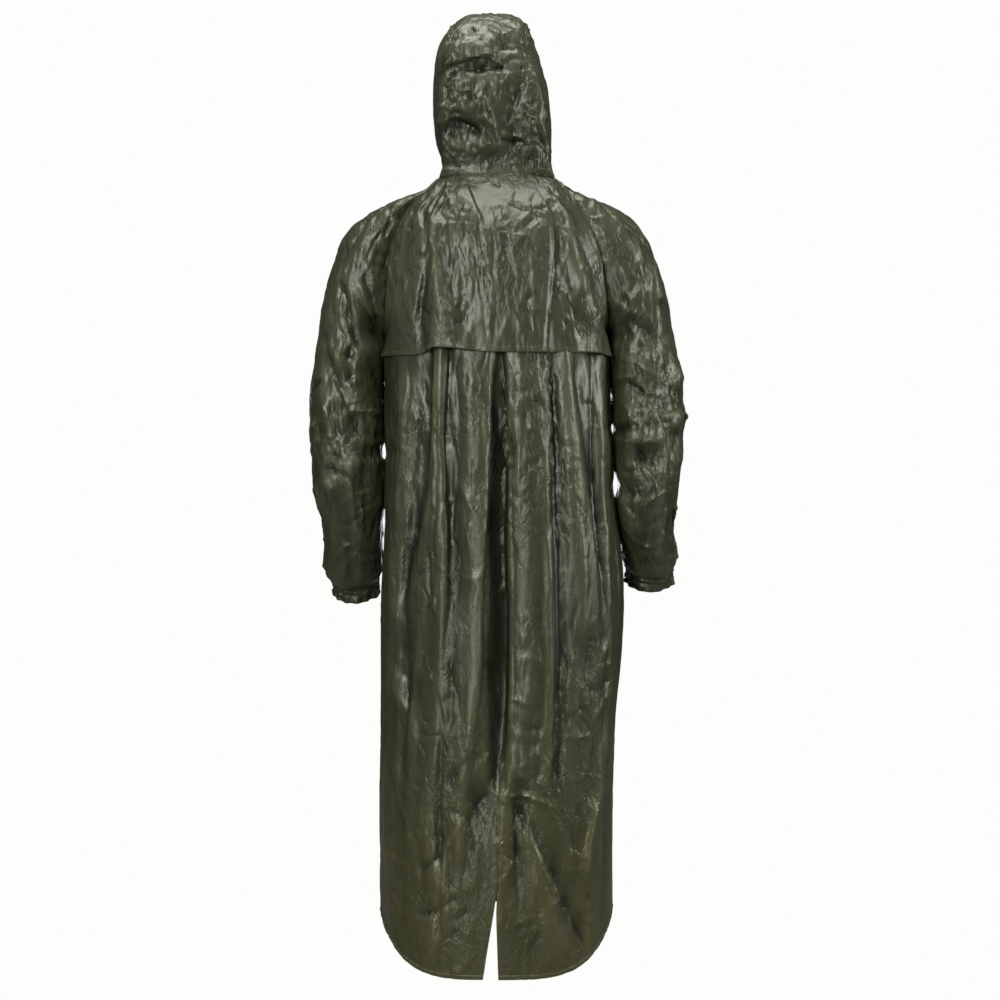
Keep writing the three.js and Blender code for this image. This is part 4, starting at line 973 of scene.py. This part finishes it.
for side in ("left", "right"):
    rows, sign = panel_rows(f"front_{side}", FRONT_PANEL["columns"])
    points = finer(rows, FRONT_PANEL["row_parts"], FRONT_PANEL["column_parts"])
    flat, area = flat_size(points)
    facing = smooth_step(sign * row_normals(points)[..., 1], *FACING)
    beside_fly = smooth_step(run_length(points, 1), FLY_HALF, FLY_HALF + BESIDE_FLY)
    from_side = from_last(points, 1)
    height = creases(FRONT_CREASES, points) * facing + crushed(points, 2.0, 0.8)
    height = height * beside_fly + puckers(points, from_side, 1.2)
    points = raised(points, height, sign)
    points = with_hem(points, sign, 0, True, HEM)
    front_rows = [seam_row(points, sign, 0, True, HEM - HEM_STITCH)]
    points = tuck_under(points, sign, 1, True, ALLOWANCE)
    front = sheet_object(f"cloth_front_{side}", points, sign)
    finish_piece(front, [f"front_{side}"], nylon)
    sew(f"stitches_front_{side}", front_rows, thread)

# The sleeves: raglan sleeves of the same nylon, each a back and a front half sewn over the arm.
# They are sewn to the body along the slanting raglan seams, and crease across at the elbow.
SLEEVE_BACK_CREASES = [
    ((-246, -160), (-224, -228), (7, 4), -5.0, 2),
    ((-224, -228), (-207, -269), (6, 4), -4.0),
    ((-236, -150), (-212, -232), (4, 6), 3.6, 2),
    ((-221, -180), (-184, -244), (6, 4), -4.4, 2),
    ((-205, -147), (-182, -245), (5, 4), -4.0, 3),
    ((-214, -160), (-190, -240), (3, 5), 3.2, 3),
    ((-220, -232), (-186, -342), (5, 4), -3.6, 3),
    ((-268, -252), (-228, -357), (5, 7), -4.2, -3),
    ((-256, -250), (-214, -350), (5, 6), 3.8, -3),
    ((-267, -266), (-240, -408), (4, 5), -3.2, -4),
    ((-270, -400), (-236, -416), (4, 9), 4.4, 3),
    ((-268, -432), (-232, -436), (8, 4), -4.4, 3),
    ((-226, -362), (-186, -368), (4, 9), 4.0, 3),
    ((-224, -392), (-184, -404), (8, 4), -4.2, 3),
    ((-196, -350), (-180, -396), (4, 5), -3.6),
    ((-272, -452), (-214, -476), (6, 6), -2.8, 4),
    ((-262, -470), (-252, -580), (6, 5), 3.2, 3),
    ((-246, -450), (-232, -590), (5, 7), -3.4, 3),
    ((-226, -420), (-218, -560), (6, 5), 3.2, -3),
    ((-208, -440), (-204, -580), (5, 7), -3.4),
    ((-262, -596), (-206, -560), (5, 4), 3.0, 4),
    ((231, -112), (231, -166), (4, 6), -5.0),
    ((242, -110), (246, -230), (4, 9), 4.4, 2),
    ((272, -160), (270, -240), (6, 4), -3.6),
    ((174, -232), (216, -162), (5, 5), -4.6, 3),
    ((186, -236), (236, -150), (5, 4), 4.0, 3),
    ((190, -222), (248, -246), (4, 8), -4.6, 3),
    ((196, -206), (246, -226), (6, 4), 3.6, 3),
    ((190, -262), (252, -296), (4, 8), -5.0, 4),
    ((192, -276), (250, -312), (7, 4), 3.8, 3),
    ((199, -318), (228, -337), (4, 6), -5.0, 2),
    ((226, -332), (291, -346), (7, 3), 5.0, 3),
    ((191, -382), (281, -374), (5, 9), -4.6, -5),
    ((200, -350), (240, -362), (8, 5), 3.6, -3),
    ((208, -404), (256, -404), (8, 6), 3.6, -4),
    ((206, -446), (252, -444), (4, 8), -4.2, 6),
    ((272, -400), (268, -570), (4, 6), -3.2),
    ((196, -452), (222, -590), (6, 5), 3.4, -4),
    ((216, -460), (240, -590), (5, 6), -3.6, -3),
    ((246, -470), (254, -590), (6, 5), 3.0),
]
ELBOW_CREASES = (
    ((214, -170), (236, -330), (6, 6), 2.4, 4),
    ((205, -352), (272, -338), (5, 6), -2.6, 3),
    ((198, -400), (262, -384), (5, 6), 2.4, -3),
    ((232, -440), (246, -590), (5, 6), -2.2, 3),
)
SLEEVE_FRONT_CREASES = []
for start, end, *shape in ELBOW_CREASES:
    for mirror in (1, -1):
        ends = (mirror * start[0], start[1]), (mirror * end[0], end[1])
        SLEEVE_FRONT_CREASES.append((*ends, *shape))
for outer, inner, lean_in in ((-300, -175, 66), (300, 175, 114)):
    low, high = min(outer, inner), max(outer, inner)
    SLEEVE_BACK_CREASES += scattered(31, 110, (low, -600), (high, -200), 36, (12, 50), (1.4, 3.6))
    SLEEVE_FRONT_CREASES += scattered(32, 70, (low, -600), (high, -40), 34, (12, 50), (0.8, 2.4))
    shoulder = (min(outer, inner / 2), max(outer, inner / 2))
    spread = (shoulder[0], -220), (shoulder[1], -10)
    SLEEVE_BACK_CREASES += scattered(33, 80, *spread, 18, (18, 70), (1.6, 4.2), lean_in)
SLEEVE_CREASES = {"back": (SLEEVE_BACK_CREASES, -1), "front": (SLEEVE_FRONT_CREASES, 1)}
SLEEVE_HALVES = {"back": 9, "front": 11}
SLEEVE_PARTS = {"back": (10, 8), "front": (8, 6)}
BODY_SIDE = {"left": -1, "right": 1}
SLEEVE_SWELL = 4.5
SLEEVE_FACING = (0.05, 0.5)
FACING_BODY = (0.2, 0.8)
SLEEVE_END_FADE = 20 * MM
BLOUSE = {"height": 4.0, "above_cuff": 20 * MM, "reach": 14 * MM}
FINE_GATHERS = {"height": 2.6, "size": (13, 13, 60), "reach": 28 * MM}
BROAD_GATHERS = {"height": 5, "size": (75, 75, 24), "reach": 34 * MM}
CUFF_SEAM_FADE = 6 * MM

for side in ("left", "right"):
    for half, columns in SLEEVE_HALVES.items():
        rows, sign = panel_rows(f"sleeve_{half}_{side}", columns)
        points = finer(rows, *SLEEVE_PARTS[half])
        flat, area = flat_size(points)
        table, toward = SLEEVE_CREASES[half]
        facing = smooth_step(toward * sign * row_normals(points)[..., 1], *SLEEVE_FACING)
        to_wrist = from_last(points, 0)
        at_ends = smooth_step(to_wrist, 0, SLEEVE_END_FADE)
        across = run_length(points, 1)
        inward = -BODY_SIDE[side] * sign * row_normals(points)[..., 0]
        height = (creases(table, points) * facing + crushed(points, 1.3, 1.25)) * at_ends
        beside_body = beside_sleeve(points[..., 2], side) * smooth_step(inward, *FACING_BODY)
        height += SLEEVE_SWELL * beside_body
        fine = wave(points, FINE_GATHERS["size"], 5.5) * np.exp(-to_wrist / FINE_GATHERS["reach"])
        broad = crests(points, BROAD_GATHERS["size"], 3.5)
        broad = broad * np.exp(-to_wrist / BROAD_GATHERS["reach"])
        blouse = np.exp(-(((to_wrist - BLOUSE["above_cuff"]) / BLOUSE["reach"]) ** 2))
        wrist = FINE_GATHERS["height"] * fine + BROAD_GATHERS["height"] * broad
        wrist += BLOUSE["height"] * blouse
        height += wrist * smooth_step(to_wrist, 0, CUFF_SEAM_FADE)
        height += (puckers(points, across) + puckers(points, from_last(points, 1))) * at_ends
        points = raised(points, height, sign)
        sleeve_rows = [seam_row(points, sign, 1, last, SEAM_STITCH) for last in (False, True)]
        points = tuck_under(points, sign, 1, False, ALLOWANCE)
        points = tuck_under(points, sign, 1, True, ALLOWANCE)
        points = tuck_under(points, sign, 0, True, ALLOWANCE)
        sew(f"stitches_sleeve_{half}_{side}", sleeve_rows, thread)
        sleeve = sheet_object(f"cloth_sleeve_{half}_{side}", points, sign)
        finish_piece(sleeve, [f"sleeve_{half}_{side}"], nylon)

# The cuffs: a band of the same nylon at each wrist, gathered by elastic sewn inside.
# The gathers are narrow and uneven, and the band bulges on both sides of the rows of elastic.
CUFF_GATHERS = 4.2
CUFF_ELASTIC = ((0.9, 0.45, 0.08), (0.7, 0.75, 0.07))
CUFF_HEIGHTS = {"gather": 2.2, "ring": 3.4, "bulge": 2.4}
SEWN_SHARE = 0.2
CUFF_SMOOTH_BELOW = 60


def open_ends(mesh):
    """The middles of a band's open ends, the highest first."""
    left = {vertex for vertex in mesh.verts if vertex.is_boundary}
    middles = []
    while left:
        rim = [left.pop()]
        for vertex in rim:
            for edge in vertex.link_edges:
                other = edge.other_vert(vertex)
                if edge.is_boundary and other in left:
                    left.remove(other)
                    rim.append(other)
        middles.append(sum((vertex.co for vertex in rim), Vector()) / len(rim))
    return sorted(middles, key=lambda middle: -middle.z)


def cuff_band(side):
    """The outside of a cuff, made finer, and the middles of its two open ends."""
    mesh = outer_skin(f"cuff_{side}")
    upper, lower = open_ends(mesh)
    data = bpy.data.meshes.new(f"cloth_cuff_{side}")
    mesh.to_mesh(data)
    mesh.free()
    band = bpy.data.objects.new(f"cloth_cuff_{side}", data)
    bpy.context.collection.objects.link(band)
    bpy.ops.object.select_all(action="DESELECT")
    band.select_set(True)
    bpy.context.view_layer.objects.active = band
    finer_band = band.modifiers.new("finer", "SUBSURF")
    finer_band.levels = finer_band.render_levels = 2
    bpy.ops.object.modifier_apply(modifier="finer")
    return band, upper, lower


for side in ("left", "right"):
    band, upper, lower = cuff_band(side)
    axis = (lower - upper).normalized()
    length = (lower - upper).length
    forward = axis.cross(Vector((1, 0, 0))).normalized()
    sideways = forward.cross(axis)
    area = sum(face.area for face in band.data.polygons)
    for vertex in band.data.vertices:
        along = (vertex.co - upper).dot(axis)
        spoke = vertex.co - upper - axis * along
        turn = math.atan2(spoke.dot(sideways), spoke.dot(forward))
        share = min(max(along / length, 0), 1)
        round_wrist = Vector((math.cos(turn), math.sin(turn), 0)) * CUFF_GATHERS
        gather = CUFF_HEIGHTS["gather"] * noise.noise(round_wrist + Vector((0, 0, share * 1.2)))
        ring = noise.noise(round_wrist * 0.35 + Vector((5, 0, share * 4.5)))
        ring *= CUFF_HEIGHTS["ring"]
        elastic = 0
        for depth, middle, width in CUFF_ELASTIC:
            elastic -= depth * math.exp(-(((share - middle) / width) ** 2))
        bulge = CUFF_HEIGHTS["bulge"] * math.sin(math.pi * share)
        from_sleeve = min(share / SEWN_SHARE, 1)
        vertex.co += spoke.normalized() * (gather + ring + elastic + bulge) * from_sleeve * MM
    thicken(band, CUFF_SMOOTH_BELOW)
    flat = round(area / length, 3), round(length, 3)
    finish_piece(band, [f"cuff_{side}"], nylon)

# The hood: a centre panel over the crown between two side panels, of the same nylon.
# The seams pucker, and the slack cloth stands in a sharp fold above the nape.
HOOD_CREASES = [
    ((-76, 164), (-44, 171), (1.5, 12), 6.5, 1, 8),
    ((-46, 171), (-4, 177), (1.5, 12), 6.5, 0, 8),
    ((-6, 177), (16, 168), (1.5, 8), 5.0, 0, 8),
    ((-78, 158), (14, 160), (7, 2), -5.0, 0, 8),
    ((-74, 192), (-56, 204), (4, 3), 2.4),
    ((-58, 204), (-8, 205), (6, 2), 2.8),
    ((-10, 205), (4, 190), (4, 2), 2.4),
    ((4, 190), (-6, 178), (3, 3), 1.8),
    ((-52, 200), (-45, 172), (3, 3), 1.8),
    ((-24, 202), (-14, 180), (3, 3), -1.8),
    ((-68, 196), (-62, 170), (2, 4), -1.8),
    ((4, 187), (28, 186), (2, 3), -2.0),
    ((28, 196), (50, 180), (2, 4), -2.8),
    ((8, 165), (30, 176), (3, 2), -2.4),
    ((-24, 156), (22, 143), (2, 3), 3.0, 1),
    ((10, 158), (4, 150), (2, 2), 2.0),
    ((-44, 158), (-40, 120), (2, 3), 2.2, 1),
    ((-50, 156), (-66, 124), (3, 3), -2.2),
    ((-60, 130), (-72, 140), (3, 3), 2.4),
    ((-58, 122), (-38, 124), (2, 3), 2.6),
    ((-30, 150), (-34, 120), (3, 4), -2.2, 2),
    ((-20, 125), (30, 100), (8, 12), -4.0, 2),
    ((-26, 118), (-8, 104), (2, 3), 2.2),
    ((-18, 110), (2, 40), (4, 3), 3.4, 3),
    ((-60, 110), (-22, 60), (3, 3), 2.4, 2),
    ((-30, 80), (0, 40), (3, 3), -3.2, 2),
    ((-76, 78), (-24, 60), (8, 7), -7.0, 4),
    ((-78, 52), (-30, 34), (9, 4), 3.4, -3),
    ((-30, 28), (-8, 12), (3, 4), 2.6, 4),
    ((-70, 14), (-50, 40), (3, 3), -2.2),
    ((4, 50), (50, 47), (3, 2), -3.2, 2),
    ((6, 62), (40, 66), (5, 5), 2.6, -2),
    ((8, 22), (24, 28), (2, 3), 2.2),
    ((26, 14), (30, -4), (1.5, 1.5), 2.2, 2),
    ((-92, 76), (-78, 110), (2, 3), 2.8),
    ((-84, 60), (-64, 98), (4, 4), -3.4),
    ((52, 150), (74, 120), (3, 4), -2.4, 2),
    ((60, 140), (76, 84), (4, 5), 2.6),
    ((58, 72), (80, 42), (4, 4), -3.0),
    ((60, 90), (80, 56), (3, 4), 2.8),
    ((60, 40), (82, 30), (3, 3), 2.2, 3),
]
HOOD_CREASES += scattered(41, 130, (-95, 0), (95, 230), 60, (10, 34), (1.2, 3.2))
NECK_GATHER = {"x": 70, "z": 8, "half_width": 13, "half_height": 16}
HOOD_PARTS = {"row": 8, "column": 10}
HOOD_COLUMNS = 8
PUCKER_REACH = 11 * MM
PUCKER_START = 2 * MM
PUCKER_HEIGHT = 3.4
NECK_FADE = 20 * MM
FACE_HEM = 2 * HEM
FACE_HEM_PROUD = 0.8

for name in ("hood_centre", "hood_left", "hood_right"):
    rows, sign = panel_rows(name, HOOD_COLUMNS, starts_high=False)
    points = finer(rows, HOOD_PARTS["row"], HOOD_PARTS["column"])
    flat, area = flat_size(points)
    across = run_length(points, 1)
    from_seam = across if name != "hood_centre" else to_edges(points)
    pucker = np.exp(-((from_seam - PUCKER_START) / PUCKER_REACH)) * smooth_step(from_seam, 0, 3 * MM)
    pucker = pucker * PUCKER_HEIGHT * wave(points, (22, 22, 7), 9.2)
    gather_x = (points[..., 0] / MM - NECK_GATHER["x"]) / NECK_GATHER["half_width"]
    gather_z = (points[..., 2] / MM - NECK_GATHER["z"]) / NECK_GATHER["half_height"]
    gathered = np.exp(-(gather_x**2 + gather_z**2)) * smooth_step(-points[..., 1], 0, NECK_FADE)
    pucker += gathered * (2.0 + 2.2 * np.sin(points[..., 0] / MM * 1.5))
    at_neck = smooth_step(run_length(points, 0), 0, NECK_FADE)
    height = creases(HOOD_CREASES, points) * facing_back(points, sign) + crushed(points, 0.8)
    height = (height + pucker) * at_neck
    if name != "hood_centre":
        height += FACE_HEM_PROUD * (1 - smooth_step(from_last(points, 1), FACE_HEM - MM, FACE_HEM + MM))
    points = raised(points, height, sign)
    hood_rows = [seam_row(points, sign, 1, False, SIDE_STITCH)]
    if name == "hood_centre":
        hood_rows.append(seam_row(points, sign, 1, True, SIDE_STITCH))
        points = tuck_under(points, sign, 1, True, ALLOWANCE)
    else:
        hood_rows.append(seam_row(points, sign, 1, True, FACE_HEM - HEM_STITCH))
    points = tuck_under(points, sign, 1, False, ALLOWANCE)
    sew(f"stitches_{name}", hood_rows, thread)
    points = tuck_under(points, sign, 0, False, ALLOWANCE)
    panel = sheet_object(f"cloth_{name}", points, sign)
    finish_piece(panel, [name], nylon)

# The storm flap: one panel over the shoulder blades, caught in the neck and raglan seams.
# Its lower edge is turned up and stitched, and hangs free of the back.
FLAP_LEVELS = (-17, -55, -101, -162, -224, -274)
FLAP_FOLDS = [
    {"x": (-120, -146, -158, -164, -168, -170), "out": (0, 0, 0, 0, 0, 0)},
    {"x": (-92, -126, -130, -134, -138, -140), "out": (1, 1, 1, 0, 0, 0)},
    {"x": (-84, -116, -112, -116, -122, -122), "out": (1, 1, 2, 2, 2, 1)},
    {"x": (-80, -112, -108, -109, -118, -112), "out": (0, -2, -4, -5, -4, -4)},
    {"x": (-74, -104, -101, -96, -96, -94), "out": (0, 1, 3, 3, 3, 3)},
    {"x": (-66, -96, -94, -90, -82, -66), "out": (0, 1, 4, 5, 5, 5)},
    {"x": (-56, -76, -78, -72, -52, -34), "out": (0, 0, 0, 0, -1, -1)},
    {"x": (-46, -32, -15, -13, -12, -16), "out": (1, 3, 3, 1, 0, 0)},
    {"x": (-42, -26, -8, -6, -4, -8), "out": (-2, -3, -2, 0, 0, 0)},
    {"x": (-14, 6, 24, 24, 24, 26), "out": (0, 0, 0, 0, 0, 0)},
    {"x": (54, 76, 80, 80, 74, 68), "out": (0, 1, 2, 2, 2, 1)},
    {"x": (60, 86, 88, 88, 80, 74), "out": (0, -2, -3, -4, -3, -2)},
    {"x": (64, 92, 97, 99, 98, 92), "out": (0, 0, 0, 0, 0, 0)},
    {"x": (68, 100, 110, 124, 140, 144), "out": (0, 1, 3, 4, 5, 2)},
    {"x": (74, 108, 118, 134, 150, 156), "out": (0, 0, 1, 3, 4, 3)},
    {"x": (80, 116, 132, 148, 162, 166), "out": (0, -2, -3, -2, 0, 1)},
    {"x": (120, 146, 158, 168, 176, 180), "out": (0, 0, 0, 0, 0, 0)},
]
FLAP_CREASES = [
    ((-70, -12), (-110, -90), (3, 4), 2.6, 3),
    ((-58, -12), (-88, -62), (3, 3), -2.2, 3),
    ((-92, -56), (-76, -76), (2, 2), -2.8),
    ((-84, -66), (-66, -72), (2, 3), 2.4),
    ((-76, -24), (-62, -66), (3, 3), 2.0),
    ((-106, -40), (-134, -96), (3, 3), 2.6, -3),
    ((-98, -34), (-126, -70), (3, 3), -2.4),
    ((-26, -34), (12, -46), (2, 2), -2.0),
    ((8, -44), (82, -74), (2, 3), 2.2, 1),
    ((12, -52), (80, -82), (2, 2), -1.8, 1),
    ((-92, -81), (-52, -84), (1.5, 1.5), 1.5),
    ((-54, -84), (88, -107), (1.5, 1.5), 1.5, -1),
    ((-12, -50), (-4, -80), (3, 3), 1.8),
    ((10, -46), (0, -82), (3, 4), 1.8, 3),
    ((30, -82), (50, -62), (2, 2), 2.8),
    ((38, -90), (56, -74), (2, 2), -1.8),
    ((46, -94), (64, -80), (2, 2), 2.2),
    ((24, -118), (42, -98), (2, 2), 2.6),
    ((0, -132), (8, -116), (2, 2), 1.8),
    ((50, -62), (76, -56), (2, 3), -2.2),
    ((-58, -110), (-42, -148), (2, 3), 1.8, -1),
    ((-50, -150), (-36, -220), (3, 4), -1.6, -2),
    ((-62, -196), (-40, -204), (2, 3), 1.8),
    ((-70, -232), (-50, -238), (2, 2), -2.0),
    ((-10, -130), (-12, -260), (2, 3), 1.4, 1),
    ((22, -206), (4, -258), (3, 4), 2.2),
    ((26, -210), (38, -250), (3, 3), 1.4),
    ((44, -190), (58, -268), (2, 2), -2.0),
    ((58, -150), (30, -210), (4, 4), 1.4, 3),
    ((52, -120), (56, -190), (3, 3), 1.2),
    ((66, -120), (64, -200), (3, 3), -1.2),
    ((96, -160), (108, -120), (3, 4), 1.8),
    ((112, -190), (118, -250), (3, 4), -1.8),
    ((134, -200), (120, -240), (3, 4), 1.8),
    ((144, -210), (158, -220), (3, 3), 2.6),
    ((140, -230), (166, -250), (3, 4), 2.0),
    ((96, -90), (112, -120), (2, 3), 2.0),
    ((82, -30), (124, -100), (3, 3), 2.0, 3),
    ((-140, -150), (-142, -220), (2, 3), 1.6),
    ((-128, -130), (-130, -215), (2, 3), -1.8),
    ((-120, -186), (-128, -236), (3, 5), -2.6, 2),
]
FLAP_CREASES += scattered(51, 150, (-165, -260), (170, -15), 26, (10, 45), (0.8, 2.3))
FLAP_CREASES += scattered(52, 26, (-150, -120), (-70, -20), 18, (15, 50), (1.2, 3.0), 62)
FLAP_CREASES += scattered(53, 26, (70, -120), (150, -20), 18, (15, 50), (1.2, 3.0), 118)
FLAP_PANEL = {"columns": 28, "row_parts": 12, "column_parts": 8}
FLAP_HEM = 8 * MM
FLAP_EDGE_X = (-170, -122, -108, -92, -60, -18, 160, 178)
FLAP_EDGE_LIFT = (-3, -4, 2, 7, 5, 0, 0, -4)
FLAP_EDGE_REACH = 30 * MM
FLAP_CLEAR = {"caught": 1.5, "free": 6.5}
FLAP_LOOSENS = (80 * MM, 260 * MM)
FLAP_SEWN = {"neck": 12 * MM, "sides": 8 * MM}
HEM_WAVE = {"height": 2.0, "size": (26, 26, 300), "reach": 20 * MM}

rows, sign = panel_rows("back_yoke", FLAP_PANEL["columns"])
points = finer(rows, FLAP_PANEL["row_parts"], FLAP_PANEL["column_parts"])
flat, area = flat_size(points)
to_hem = from_last(points, 0)
hem_wave = HEM_WAVE["height"] * wave(points, HEM_WAVE["size"], 4.4)
hem_wave = hem_wave * np.exp(-to_hem / HEM_WAVE["reach"])
at_neck = smooth_step(run_length(points, 0), 0, FLAP_SEWN["neck"])
at_sides = smooth_step(to_edges(points), 0, FLAP_SEWN["sides"])
height = creases(FLAP_CREASES, points) + folded(points, FLAP_FOLDS, FLAP_LEVELS)
height = (height * at_sides + crushed(points, 1.9, 0.8)) * at_neck + hem_wave
loose = smooth_step(-points[..., 2], *FLAP_LOOSENS)
clear = FLAP_CLEAR["caught"] + (FLAP_CLEAR["free"] - FLAP_CLEAR["caught"]) * loose
height = np.maximum(height, -clear)
lift = np.interp(points[..., 0] / MM, FLAP_EDGE_X, FLAP_EDGE_LIFT)
lift = lift * np.exp(-((to_hem / FLAP_EDGE_REACH) ** 2))
points = raised(points, height, sign)
points[..., 2] += lift * MM
points = with_hem(points, sign, 0, True, FLAP_HEM)
flap_rows = [seam_row(points, sign, 0, True, FLAP_HEM - HEM_STITCH)]
flap_rows += [seam_row(points, sign, 1, last, SEAM_STITCH) for last in (False, True)]
flap = sheet_object("cloth_back_flap", points, sign, paler_edge(points))
finish_piece(flap, ["back_yoke"], nylon)
sew("stitches_back_flap", flap_rows, thread)

# The fly: a doubled strip down the front over the opening, stitched along one edge.
# It lies flat, with its snaps through it.
FLY_PANEL = {"columns": 3, "row_parts": 8, "column_parts": 6}
FLY_STITCH = 5 * MM
FLY_CRINKLE = 0.35
FLY_GROOVE = {"half_width": 1.5 * MM, "depth": 0.4}

rows, sign = panel_rows("front_fly", FLY_PANEL["columns"])
points = finer(rows, FLY_PANEL["row_parts"], FLY_PANEL["column_parts"])
flat, area = flat_size(points)
from_edge = to_edges(points)
groove = np.exp(-(((from_edge - FLY_STITCH) / FLY_GROOVE["half_width"]) ** 2))
height = FLY_CRINKLE * crumple(points, (12, 12, 20), 1.0) - FLY_GROOVE["depth"] * groove
points = raised(points, height, sign)
fly_rows = [seam_row(points, sign, 1, last, FLY_STITCH) for last in (False, True)]
fly = sheet_object("cloth_front_fly", points, sign)
finish_piece(fly, ["front_fly"], nylon)
sew("stitches_front_fly", fly_rows, thread)

# Snap caps: pressed metal caps with a dark olive lacquer, set through the fly.
# The lacquer is dull, and rubbed through to the metal in small spots.
def olive_lacquer():
    """Dark olive lacquer over metal, paler in the spots where it is rubbed through."""
    material = bpy.data.materials.new("olive_lacquer")
    material.use_nodes = True
    tree, links = material.node_tree, material.node_tree.links
    surface = tree.nodes["Principled BSDF"]
    place = add_node(tree, "TexCoord")
    rubbed = add_node(tree, "TexNoise", {"Scale": 420, "Detail": 5})
    links.new(place.outputs["Object"], rubbed.inputs["Vector"])
    colours = colour_ramp(tree, ((0.56, (0.045, 0.047, 0.03)), (0.68, (0.3, 0.29, 0.25))))
    links.new(rubbed.outputs["Fac"], colours.inputs["Fac"])
    links.new(colours.outputs["Color"], surface.inputs["Base Color"])
    dull = add_node(tree, "MapRange", {"To Min": 0.3, "To Max": 0.55})
    links.new(rubbed.outputs["Fac"], dull.inputs["Value"])
    links.new(dull.outputs["Result"], surface.inputs["Roughness"])
    surface.inputs["Metallic"].default_value = 0.7
    return material


snap_lacquer = olive_lacquer()
for node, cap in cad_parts.items():
    if node.startswith("snap_"):
        cap.data.materials.clear()
        cap.data.materials.append(snap_lacquer)
